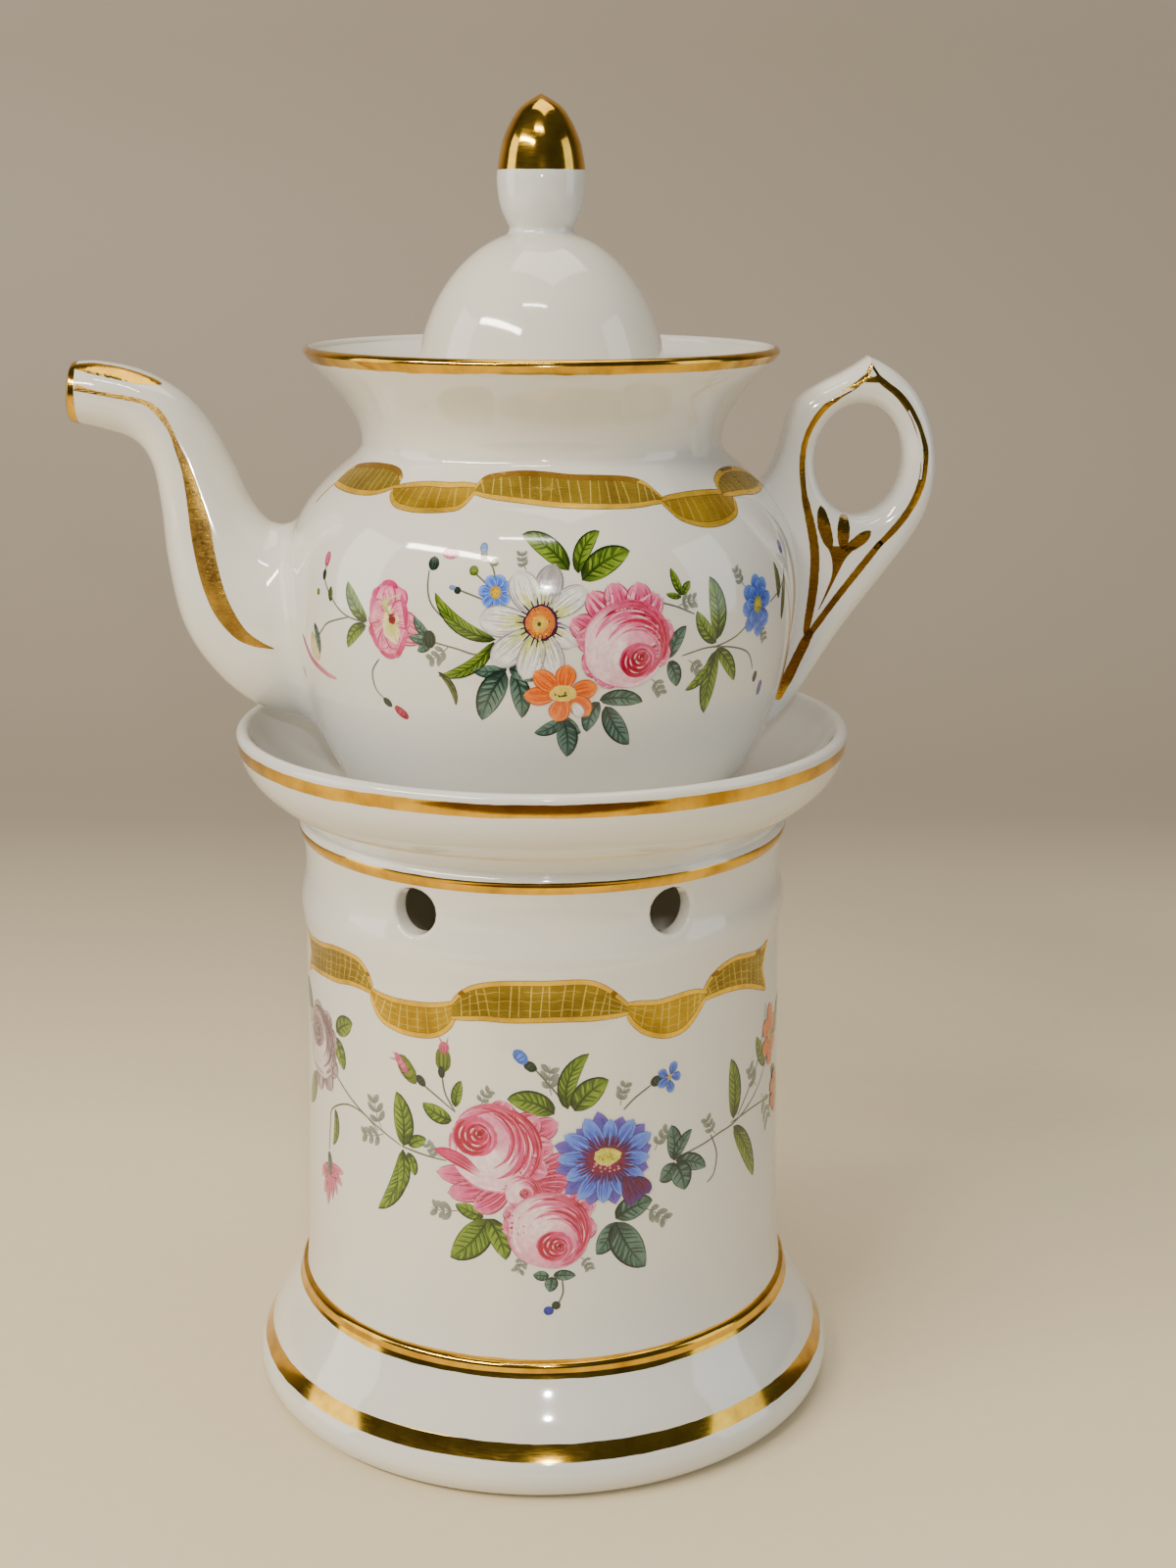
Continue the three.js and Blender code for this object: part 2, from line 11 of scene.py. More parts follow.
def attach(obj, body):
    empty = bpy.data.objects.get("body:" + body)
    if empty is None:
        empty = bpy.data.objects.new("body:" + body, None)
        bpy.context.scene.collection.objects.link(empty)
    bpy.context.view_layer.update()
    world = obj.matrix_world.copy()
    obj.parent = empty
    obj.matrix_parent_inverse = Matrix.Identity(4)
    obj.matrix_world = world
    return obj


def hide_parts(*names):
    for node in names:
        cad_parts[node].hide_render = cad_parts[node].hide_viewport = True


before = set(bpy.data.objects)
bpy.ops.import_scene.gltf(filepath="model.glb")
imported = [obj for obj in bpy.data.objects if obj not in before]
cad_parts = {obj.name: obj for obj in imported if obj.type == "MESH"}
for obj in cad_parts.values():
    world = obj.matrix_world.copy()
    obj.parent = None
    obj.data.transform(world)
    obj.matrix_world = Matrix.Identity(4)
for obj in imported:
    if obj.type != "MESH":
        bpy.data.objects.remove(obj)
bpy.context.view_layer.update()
mm = 0.001

# Heights that several pieces share, in mm above the table
levels = {"footTop": 23.0, "floorTop": 23.3, "wallTop": 109.3, "potSeat": 113.0, "lidSeat": 188.1,
          "ventHeight": 104.4}


# Outlines are lists of (radius, height) in mm

def between(a, b, t):
    return tuple(p + (q - p) * t for p, q in zip(a, b))


def bend(count, a, b, c, d):
    points = []
    for i in range(count + 1):
        t = i / count
        u = 1 - t
        points.append(tuple(u ** 3 * p + 3 * u * u * t * q + 3 * u * t * t * r + t ** 3 * s
                            for p, q, r, s in zip(a, b, c, d)))
    return points


def through(count, *places):
    # a smooth curve through the places, evenly spread over them
    points = []
    last = len(places) - 1
    for i in range(count + 1):
        k = min(int(i / count * last), last - 1)
        t = i / count * last - k
        near = (places[max(k - 1, 0)], places[k], places[k + 1], places[min(k + 2, last)])
        points.append(tuple(
            0.5 * (2 * b + (c - a) * t + (2 * a - 5 * b + 4 * c - d) * t * t
                   + (3 * b - a - 3 * c + d) * t ** 3)
            for a, b, c, d in zip(*near)))
    return points


def onOval(centre, size, angle, share=1.0):
    # a place on an oval, or part of the way out to it
    return (centre[0] + size[0] * share * math.cos(angle), centre[1] + size[1] * share * math.sin(angle))


def arc(count, centre, size, start, stop):
    return [onOval(centre, size, math.radians(start + (stop - start) * i / count)) for i in range(count + 1)]


def joined(*stretches):
    points = []
    for stretch in stretches:
        for point in stretch:
            if not points or math.dist(points[-1], point) > 1e-3:
                points.append(tuple(point))
    return points


def leftOf(points, i, loop=False):
    # the unit way to the left of a line, at one of its points
    last = len(points) - 1
    a = points[i - 1] if loop or i else points[0]
    b = points[0] if loop and i == last else points[min(i + 1, last)]
    run = math.dist(a, b) or 1e-6
    return -(b[1] - a[1]) / run, (b[0] - a[0]) / run


def pushed(point, way, distance):
    return (point[0] + way[0] * distance, point[1] + way[1] * distance)


def shifted(points, distance, loop=False):
    return [pushed(point, leftOf(points, i, loop), distance) for i, point in enumerate(points)]


def lifted(outline, rise):
    return [(r, z + rise) for r, z in outline]


def heightOn(outline):
    # the radius of an outline at a height
    heights = [z for _, z in outline]

    def radiusAt(z):
        k = min(max(bisect(heights, z), 1), len(outline) - 1)
        (r0, z0), (r1, z1) = outline[k - 1], outline[k]
        return r0 + (r1 - r0) * min(max((z - z0) / max(z1 - z0, 1e-6), 0), 1)
    return radiusAt


def measured(points):
    # how far along a line each of its points lies
    run = [0]
    for a, b in zip(points, points[1:]):
        run.append(run[-1] + math.dist(a, b))
    return run


# Meshes

def gridFaces(rows, wide, start=0, ring=False, closed=False):
    # faces between rows of points; ring joins the ends of each row, closed the last row to the first
    faces = []
    for i in range(rows if closed else rows - 1):
        here, there = start + i * wide, start + (i + 1) % rows * wide
        for k in range(wide if ring else wide - 1):
            n = (k + 1) % wide
            faces.append((here + k, here + n, there + n, there + k))
    return faces


def placed(name, data):
    obj = bpy.data.objects.new(name, data)
    bpy.context.collection.objects.link(obj)
    return obj


def plainMesh(name, verts, faces):
    mesh = bpy.data.meshes.new(name)
    mesh.from_pydata([tuple(v) for v in verts], [], faces)
    mesh.shade_smooth()
    return mesh


def keepCreases(mesh, angle=40):
    mesh.shade_smooth()
    mesh.set_sharp_from_angle(angle=math.radians(angle))


def newObject(name, verts, faces, crease=40):
    mesh = plainMesh(name, verts, faces)
    bm = bmesh.new()
    bm.from_mesh(mesh)
    bmesh.ops.remove_doubles(bm, verts=bm.verts, dist=1e-7)
    bmesh.ops.recalc_face_normals(bm, faces=bm.faces)
    bm.to_mesh(mesh)
    bm.free()
    keepCreases(mesh, crease)
    return placed(name, mesh)


def onCircle(r, angle, z):
    return (r * math.cos(angle) * mm, r * math.sin(angle) * mm, z * mm)


def turned(name, outline, sides=192):
    # a closed outline, or one that starts and ends on the axis, turned round Z
    closed = outline[0][0] > 1e-6 or outline[-1][0] > 1e-6
    verts = [onCircle(r, 2 * math.pi * k / sides, z) for r, z in outline for k in range(sides)]
    return newObject(name, verts, gridFaces(len(outline), sides, ring=True, closed=closed))


def cutBy(obj, cutter):
    cut = obj.modifiers.new("cut", "BOOLEAN")
    cut.operation, cut.solver, cut.object = "DIFFERENCE", "EXACT", cutter
    cutMesh = bpy.data.meshes.new_from_object(obj.evaluated_get(bpy.context.evaluated_depsgraph_get()))
    obj.modifiers.clear()
    obj.data = cutMesh
    keepCreases(cutMesh)
    bpy.data.objects.remove(cutter)


def prism(name, points, depth, place):
    # a drawing's points pushed through a depth; place turns (x, y, depth) into a position
    count = len(points)
    verts = [place(x, y, 0) for x, y in points] + [place(x, y, depth) for x, y in points]
    return newObject(name, verts, [tuple(range(count)), tuple(range(count, 2 * count))]
                     + [(i, (i + 1) % count, count + (i + 1) % count, count + i) for i in range(count)])


def finished(obj, body, nodes, material):
    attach(obj, body)
    if nodes:
        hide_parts(*nodes)
    obj.data.materials.clear()
    obj.data.materials.append(material)


# Shader helpers: a value is a number, a colour, or what another node gives out

def fill(tree, sockets, values):
    for label, value in values.items():
        if isinstance(value, bpy.types.NodeSocket):
            tree.links.new(value, sockets[label])
        else:
            colour = isinstance(value, tuple) and sockets[label].type == "RGBA"
            sockets[label].default_value = (*value, 1) if colour else value


def addNode(tree, kind, values, **settings):
    node = tree.nodes.new("ShaderNode" + kind)
    for key, value in settings.items():
        setattr(node, key, value)
    fill(tree, node.inputs, values)
    return node.outputs


def mathNode(tree, operation, *values):
    return addNode(tree, "Math", dict(enumerate(values)), operation=operation)[0]


def noiseNode(tree, place, scale, detail=3, roughness=0.5):
    return addNode(tree, "TexNoise", {"Vector": place, "Scale": scale, "Detail": detail,
                                      "Roughness": roughness})["Fac"]


def rampNode(tree, value, low, high):
    node = tree.nodes.new("ShaderNodeValToRGB")
    node.color_ramp.elements[0].position = low
    node.color_ramp.elements[1].position = high
    tree.links.new(value, node.inputs[0])
    return node.outputs[0]


def mixColour(tree, amount, first, second):
    return addNode(tree, "Mix", {0: amount, 6: first, 7: second}, data_type="RGBA")[2]


def newGroup(name, inputs, outputs):
    group = bpy.data.node_groups.new(name, "ShaderNodeTree")
    kinds = {"colour": "NodeSocketColor", "value": "NodeSocketFloat", "vector": "NodeSocketVector"}
    for side, sockets in (("INPUT", inputs), ("OUTPUT", outputs)):
        for label, kind in sockets.items():
            group.interface.new_socket(name=label, in_out=side, socket_type=kinds[kind])
    return group, group.nodes.new("NodeGroupInput").outputs, group.nodes.new("NodeGroupOutput").inputs


def newMaterial(name):
    material = bpy.data.materials.new(name)
    material.use_nodes = True
    tree = material.node_tree
    return material, tree, tree.nodes["Principled BSDF"].inputs, addNode(tree, "TexCoord", {})["Object"]


def bumped(tree, shader, height, strength, distance):
    bump = addNode(tree, "Bump", {"Strength": strength, "Distance": distance, "Height": height})
    tree.links.new(bump[0], shader["Normal"])


# Glaze: a slow drift of tone, a very fine waviness, and a few dark specks from the kiln
glazeGroup, given, made = newGroup(
    "glaze", {"Place": "vector", "Pale": "colour", "Deep": "colour", "Drift": "value", "Specks": "value"},
    {"Color": "colour", "Height": "value", "Roughness": "value"})
drift = noiseNode(glazeGroup, given["Place"], given["Drift"])
tone = mixColour(glazeGroup, rampNode(glazeGroup, drift, 0.35, 0.7), given["Pale"], given["Deep"])
cells = addNode(glazeGroup, "TexVoronoi", {"Vector": given["Place"], "Scale": 90})
specks = mathNode(glazeGroup, "MULTIPLY", mathNode(glazeGroup, "GREATER_THAN", cells["Color"], 0.94),
                  mathNode(glazeGroup, "LESS_THAN", cells["Distance"], 0.035))
specks = mathNode(glazeGroup, "MULTIPLY", specks, given["Specks"])
waves = noiseNode(glazeGroup, given["Place"], 130, 2)
pits = noiseNode(glazeGroup, given["Place"], 1400, 2)
fill(glazeGroup, made, {"Color": mixColour(glazeGroup, specks, tone, (0.16, 0.13, 0.11)),
                        "Height": mathNode(glazeGroup, "MULTIPLY_ADD", pits, 0.12, waves),
                        "Roughness": mathNode(glazeGroup, "MULTIPLY_ADD", drift, 0.06, 0.05)})

# Gilding laid on in a turned band: a height range on the piece, with an edge that wavers
bandGroup, given, made = newGroup(
    "giltBand", {"Place": "vector", "Low": "value", "High": "value", "Inner": "value", "Waver": "value"},
    {"Mask": "value"})
split = addNode(bandGroup, "SeparateXYZ", {0: given["Place"]})
radius = mathNode(bandGroup, "SQRT", mathNode(
    bandGroup, "ADD", *(mathNode(bandGroup, "POWER", split[axis], 2) for axis in "XY")))
quick, slow = (mathNode(bandGroup, "MULTIPLY", mathNode(
    bandGroup, "SUBTRACT", noiseNode(bandGroup, given["Place"], scale, detail), 0.5), given["Waver"])
    for scale, detail in ((260, 2), (45, 1)))
offset = mathNode(bandGroup, "MULTIPLY_ADD", slow, 2.0, quick)
height = mathNode(bandGroup, "ADD", split["Z"], offset)
inBand = mathNode(bandGroup, "MULTIPLY", mathNode(bandGroup, "GREATER_THAN", height, given["Low"]),
                  mathNode(bandGroup, "LESS_THAN", height, given["High"]))
outside = mathNode(bandGroup, "GREATER_THAN", mathNode(bandGroup, "MULTIPLY_ADD", offset, 1.5, radius),
                   given["Inner"])
fill(bandGroup, made, {"Mask": mathNode(bandGroup, "MULTIPLY", inBand, outside)})

# Burnished gilding: colour that deepens in patches, fine turning lines and rubbed spots
giltGroup, given, made = newGroup(
    "giltSurface", {"Place": "vector", "Bright": "colour", "Dull": "colour", "Wear": "value"},
    {"Color": "colour", "Roughness": "value", "Height": "value", "Cover": "value"})
patches = rampNode(giltGroup, noiseNode(giltGroup, given["Place"], 120, 4, 0.6), 0.4, 0.68)
drawnOut = addNode(giltGroup, "Mapping", {"Vector": given["Place"], "Scale": (1, 1, 14)})
turning = noiseNode(giltGroup, drawnOut[0], 420, 3)
fine = noiseNode(giltGroup, given["Place"], 2600, 2)
rubbed = noiseNode(giltGroup, given["Place"], 900, 5, 0.7)
fill(giltGroup, made, {
    "Color": mixColour(giltGroup, patches, given["Bright"], given["Dull"]),
    "Roughness": mathNode(giltGroup, "MULTIPLY_ADD", turning, 0.16, 0.04),
    "Height": mathNode(giltGroup, "MULTIPLY_ADD", fine, 0.5, turning),
    "Cover": mathNode(giltGroup, "LESS_THAN", rubbed,
                      mathNode(giltGroup, "MULTIPLY_ADD", given["Wear"], -0.2, 0.82))})
goldTones = {"Bright": (0.84, 0.49, 0.05), "Dull": (0.46, 0.24, 0.02)}


def porcelain(name, look, bands=()):
    # glazed white, with gilt where a band says so; a band is (low, high, inner radius, waver) in mm
    material, tree, shader, place = newMaterial(name)
    glaze = addNode(tree, "Group", {
        "Place": place, "Pale": look["pale"], "Deep": look["deep"], "Drift": look["drift"],
        "Specks": look["specks"]}, node_tree=glazeGroup)
    colour, rough, height, coat = glaze["Color"], glaze["Roughness"], glaze["Height"], look["coat"]
    masks = [addNode(tree, "Group", {"Place": place, "Low": low * mm, "High": high * mm, "Inner": inner * mm,
                                     "Waver": waver * mm}, node_tree=bandGroup)["Mask"]
             for low, high, inner, waver in bands]
    if masks:
        gilt = addNode(tree, "Group", {"Place": place, **goldTones, "Wear": look["wear"]},
                       node_tree=giltGroup)
        mask = masks[0] if len(masks) == 1 else mathNode(tree, "MAXIMUM", *masks)
        mask = mathNode(tree, "MULTIPLY", mask, gilt["Cover"])
        colour = mixColour(tree, mask, colour, gilt["Color"])
        rough = addNode(tree, "Mix", {0: mask, 2: rough, 3: gilt["Roughness"]})[0]
        coat = mathNode(tree, "MULTIPLY", mathNode(tree, "SUBTRACT", 1.0, mask), coat)
        height = mathNode(tree, "MULTIPLY_ADD", mask, 0.8, height)
        fill(tree, shader, {"Metallic": mask})
    fill(tree, shader, {"Base Color": colour, "Roughness": rough, "Coat Weight": coat, "Coat Roughness": 0.03,
                        "IOR": 1.52})
    bumped(tree, shader, height, 0.25, 0.00004)
    return material


white = {"pale": (0.75, 0.715, 0.615), "deep": (0.66, 0.67, 0.655), "drift": 16.0, "specks": 0.6,
         "coat": 0.6, "wear": 0.4}

potWhite = porcelain("potGlaze", white, [(195.3, 199, 41.35, 0.22)])
standWhite = porcelain("standGlaze", white, [(20.3, 23.4, 30, 0.25)])
footWhite = porcelain("footGlaze", white, [(20.3, 23.4, 44, 0.25), (8.0, 10.8, 50, 0.25)])
collarWhite = porcelain("collarGlaze", white, [(109.2, 111.5, 43, 0.2), (125.7, 128.1, 54.9, 0.3)])
# the lid's glaze is a copy of the white tinted creamier: a painted warm reflection
lidWhiteWarmReflection = porcelain("lidGlazeWarmReflection", {**white, "pale": (0.78, 0.73, 0.60), "deep": (0.71, 0.685, 0.595)})
knobWhite = porcelain("knobGlaze", white, [(227.9, 245, 0, 0.25)])
spoutWhite = porcelain("spoutGlaze", white)
burnerWhite = porcelain("burnerGlaze", {**white, "specks": 0.9})

# Stand

foot = {"outer": 55.9, "bead": 5.0, "beadEnd": 2.6, "ledgeRise": 10.9, "neck": 47.3, "inner": 40.9,
        "ledge": 3.0, "floor": 4.0, "undercut": 6.5}


def makeFoot():
    top, neck, bead, rise, inner = (levels["footTop"], foot["neck"], foot["bead"], foot["ledgeRise"],
                                    foot["inner"])
    beadCentre, shoulder = foot["outer"] - bead, foot["outer"] - foot["beadEnd"]
    ledgeInner, ledgeHeight = inner - foot["ledge"], levels["floorTop"] - foot["floor"]
    outline = joined(
        [(beadCentre - foot["undercut"], 0.6), (beadCentre - foot["undercut"] + 0.8, 0)],
        arc(18, (beadCentre, bead), (bead, bead), -90, 40),
        bend(24, (shoulder, rise), (shoulder - 1.6, rise + 4), (neck + 2, top - 6), (neck, top - 1.6)),
        bend(8, (neck, top - 1.6), (neck + 0.25, top - 0.9), (neck - 0.1, top - 0.2), (46.5, top)),
        [(inner, top), (inner, ledgeHeight), (ledgeInner, ledgeHeight),
         (ledgeInner, ledgeHeight - foot["floor"])])
    finished(turned("stand_foot_glazed", outline), "stand", ["stand_foot"], footWhite)


# rows stand below the vents, and a vent's patch reaches so many cells either way
wall = {"radius": 44.9, "inner": 40.9, "swellDrop": 9.2, "ventRadius": 4.2, "ventRound": 0.7,
        "ventReach": 3, "doorHalf": 25.0, "doorSpring": 43.9, "doorFoot": 20, "doorFrom": 20,
        "doorDepth": 40, "columns": 144, "rows": 40}


def wallOutline():
    # outside of the wall, from the foot up to the collar
    r, low, high = wall["radius"], levels["footTop"], levels["wallTop"]
    swell = levels["ventHeight"] - wall["ventRadius"] - wall["swellDrop"]
    return joined(
        bend(10, (r + 1.6, low), (r + 0.9, low + 3), (r + 0.7, low + 10), (r + 0.5, low + 22)),
        [(r + 0.15, 58), (r - 0.1, 74), (r - 0.2, swell - 2)],
        through(16, (r - 0.2, swell), (r + 0.3, swell + 3.5), (r + 0.5, swell + 6.5),
                (r - 0.5, swell + 11.5)),
        [(r - 0.5, high - 3), (r - 0.1, high)])


def bridged(loops):
    # faces between loops of corners that lie one inside the other
    return [(one[j], one[(j + 1) % len(one)], other[(j + 1) % len(one)], other[j])
            for one, other in zip(loops, loops[1:]) for j in range(len(one))]


def makeWall():
    radiusAt = heightOn(wallOutline())
    columns, reach, low, ventZ = wall["columns"], wall["ventReach"], levels["footTop"], levels["ventHeight"]
    step = 2 * math.pi / columns
    half = reach * step * wall["radius"]
    rows = [low + (ventZ - half - low) * i / wall["rows"] for i in range(wall["rows"])]
    rows += [ventZ - half + half * i / reach for i in range(2 * reach)] + [levels["wallTop"]]
    sheetSize, middle, side = len(rows) * columns, wall["rows"] + reach, range(-reach, reach)
    verts = [onCircle(radius(z), k * step, z) for radius in (radiusAt, lambda z: wall["inner"])
             for z in rows for k in range(columns)]

    vents = [round(math.radians(a) / step) % columns for a in range(-120, 181, 60)]
    patches = {(middle + i, (centre + k) % columns) for centre in vents for i in side for k in side}
    faces = [face for start in (0, sheetSize)
             for cell, face in enumerate(gridFaces(len(rows), columns, start, ring=True))
             if divmod(cell, columns) not in patches]
    for row in (0, sheetSize - columns):
        faces += bridged([range(start + row, start + row + columns) for start in (0, sheetSize)])

    ventR, rounding = wall["ventRadius"], wall["ventRound"]
    # rings of a vent: the radius, and how deep it lies in the wall from the nearer face
    rim = [(ventR + rounding + 0.35, 0)]
    rim += [(ventR + rounding * (1 - math.sin(a)), rounding * (1 - math.cos(a)))
            for a in (math.radians(d) for d in range(0, 91, 18))]
    rings = [(*one, True) for one in rim] + [(*one, False) for one in reversed(rim)]
    edge = [(-reach, k) for k in side] + [(i, reach) for i in side]
    edge += [(reach, -k) for k in side] + [(-i, -reach) for i in side]
    for centre in vents:
        border = [(middle + i) * columns + (centre + k) % columns for i, k in edge]
        loops = [border]
        for size, depth, fromOutside in rings:
            loops.append(range(len(verts), len(verts) + len(edge)))
            for i, k in edge:
                across, up = k * step * wall["radius"], rows[middle + i] - ventZ
                span = math.hypot(across, up)
                z = ventZ + up / span * size
                surface = radiusAt(z) - depth if fromOutside else wall["inner"] + depth
                verts.append(onCircle(surface, centre * step + across / span * size / wall["radius"], z))
        faces += bridged(loops + [[corner + sheetSize for corner in border]])
    obj = newObject("stand_wall_glazed", verts, faces, 50)

    spring, halfDoor, sill = wall["doorSpring"], wall["doorHalf"], wall["doorFoot"]
    arch = [(-halfDoor, sill), (halfDoor, sill)] + arc(40, (0, spring), (halfDoor, halfDoor), 0, 180)
    cutBy(obj, prism("doorCutter", arch, wall["doorDepth"],
                     lambda x, y, d: (x * mm, (wall["doorFrom"] + d) * mm, y * mm)))
    finished(obj, "stand", ["stand_wall", "stand_vent_band"], standWhite)


collar = {"lip": 56.4, "top": 129.7, "lipWidth": 2.4, "seatEdge": 31.5, "seatHole": 23.5, "under": 109.0,
          "ringTop": 112.7}


def makeCollar():
    r, lip, top, ringTop, hole = (wall["radius"], collar["lip"], collar["top"], collar["ringTop"],
                                  collar["seatHole"])
    wallTop, seat, edge = levels["wallTop"], levels["potSeat"], collar["seatEdge"]
    rounded = collar["lipWidth"] / 2
    outline = joined(
        [(wall["inner"], wallTop), (r - 0.1, wallTop)],
        through(10, (r - 0.1, wallTop), (r + 0.5, wallTop + 1.2), (r + 0.35, ringTop - 0.8),
                (r - 0.2, ringTop)),
        bend(24, (r - 0.2, ringTop + 0.4), (r + 3, ringTop + 4), (lip - 1.4, ringTop + 6.5),
             (lip - 0.3, top - 3.4)),
        arc(12, (lip - rounded, top - rounded), (rounded, rounded), 0, 150),
        bend(24, (lip - 3.0, top - 1.8), (lip - 6.4, top - 8), (edge + (lip - edge) * 0.33, seat + 3),
             (edge, seat)),
        [(hole + 0.5, seat), (hole, seat - 0.5), (hole, collar["under"]),
         (wall["inner"] - 6, collar["under"])])
    obj = turned("stand_collar_glazed", outline)
    finished(obj, "stand", ["stand_collar"], collarWhite)


# Pot

pot = {"radius": 46.7, "wall": 3.0, "footRadius": 29.5, "footWidth": 4.0, "footHeight": 2.4,
       "belly": 42.0, "bellyCurve": 1.65, "throat": 32.3, "throatHeight": 68.1, "rim": 42.4,
       "rimHeight": 84.9, "rimWidth": 2.0, "strainerHeight": 36, "strainerRing": 7, "strainerHole": 2}


def potOutline():
    # outside of the pot above its foot, measured from its seat
    r, belly, throat, narrow, rimHeight = (pot["radius"], pot["belly"], pot["throat"], pot["throatHeight"],
                                           pot["rimHeight"])
    base, power = pot["footRadius"] + 0.5, 2 / pot["bellyCurve"]
    return joined(
        [(base + (r - base) * math.sin(a) ** power,
          belly - (belly - pot["footHeight"]) * math.cos(a) ** power)
         for a in (math.radians(90 * i / 40) for i in range(41))],
        bend(36, (r, belly), (r, belly + 19), (throat, narrow - 4), (throat, narrow)),
        bend(24, (throat, narrow), (throat, narrow + 6.5), (pot["rim"] - 3.1, rimHeight - 5.7),
             (pot["rim"], rimHeight - 1)))


def makePotBody():
    outside = potOutline()
    inside = shifted(outside, pot["wall"])
    ledge, bore = levels["lidSeat"] - levels["potSeat"], pot["throat"] - pot["wall"]
    footOut, low, top, rounded = pot["footRadius"], pot["footHeight"], pot["rimHeight"], pot["rimWidth"] / 2
    footInner, floor = footOut - pot["footWidth"], low + pot["wall"]
    outline = joined(
        [(0, low), (footInner - 0.5, low), (footInner, 0.4), (footInner + 0.5, 0), (footOut - 0.5, 0),
         (footOut, 0.5)],
        outside,
        arc(12, (pot["rim"] - rounded, top - 1), (rounded, 1), 0, 180),
        [p for p in reversed(inside) if ledge + 2 < p[1] < top - 3],
        [(bore + 2.4, ledge), (bore, ledge)],
        [p for p in reversed(inside) if floor < p[1] < ledge - 2],
        [(footInner, floor), (0, floor)])
    obj = turned("pot_body_glazed", lifted(outline, levels["potSeat"]))
    middle = (0, levels["potSeat"] + pot["strainerHeight"])
    ring, hole = pot["strainerRing"], pot["strainerHole"]
    for centre in [middle] + arc(5, middle, (ring, ring), 0, 300):
        cutBy(obj, prism("strainerCutter", arc(20, centre, (hole, hole), 0, 342), 16,
                         lambda x, y, d: (-(54 - d) * mm, x * mm, y * mm)))
    finished(obj, "pot", ["pot_foot", "pot_body", "pot_shoulder", "pot_neck"], potWhite)


spout = {"out": 37.6, "drop": 2.9, "mouthHalf": 5.2, "rootHalf": 14.0, "wall": 2.0, "rootDrop": 25.5,
         "sides": 64, "rings": 90, "fillet": 4.5, "filletSteps": 12, "rows": 70, "boreSteps": 22, "lip": 0.45,
         "giltEdge": 0.6945188138696619, "giltLift": 0.03,
         "stations": [  # lower edge along, up; upper edge along, up; share of the widening
             (0, 0.837, 0.02, 0.997, 0), (0.16, 0.816, 0.148, 1, 0.07),
             (0.303, 0.785, 0.353, 0.975, 0.125), (0.381, 0.721, 0.541, 0.914, 0.18),
             (0.415, 0.606, 0.672, 0.828, 0.25), (0.437, 0.452, 0.762, 0.727, 0.36),
             (0.499, 0.279, 0.843, 0.623, 0.52), (0.641, 0.147, 0.938, 0.561, 0.7),
             (0.849, 0.049, 1.067, 0.531, 0.89), (1.148, 0, 1.232, 0.506, 1)]}
potRadiusAt = heightOn(potOutline())
rootHeight = levels["potSeat"] + pot["belly"] - spout["rootDrop"]


def onPot(point, lift=0.0):
    # the nearest place on the pot's outside, along the way out from its axis
    r = potRadiusAt(point.z - levels["potSeat"]) + lift
    flat = math.hypot(point.x, point.y)
    return Vector((point.x / flat * r, point.y / flat * r, point.z))


def outsidePot(point):
    return math.hypot(point.x, point.y) - potRadiusAt(point.z - levels["potSeat"])


def spoutRings(inward):
    tip = -(pot["radius"] + spout["out"])
    rise = levels["potSeat"] + pot["rimHeight"] - spout["drop"] - rootHeight
    lows, highs, halves = [], [], []
    for lowAlong, lowUp, highAlong, highUp, widening in spout["stations"]:
        lows.append((tip + lowAlong * spout["out"], rootHeight + lowUp * rise))
        highs.append((tip + highAlong * spout["out"], rootHeight + highUp * rise))
        halves.append((spout["mouthHalf"] + widening * (spout["rootHalf"] - spout["mouthHalf"]),))
    rings = []
    for low, high, (half,) in zip(*(through(spout["rings"], *places) for places in (lows, highs, halves))):
        centre = Vector(((low[0] + high[0]) / 2, 0, (low[1] + high[1]) / 2))
        up = Vector((high[0], 0, high[1])) - centre
        up.length -= inward
        rings.append((centre, up, half - inward))
    return rings


def along(rings, angle):
    return [centre + up * math.cos(angle) + Vector((0, half * math.sin(angle), 0))
            for centre, up, half in rings]


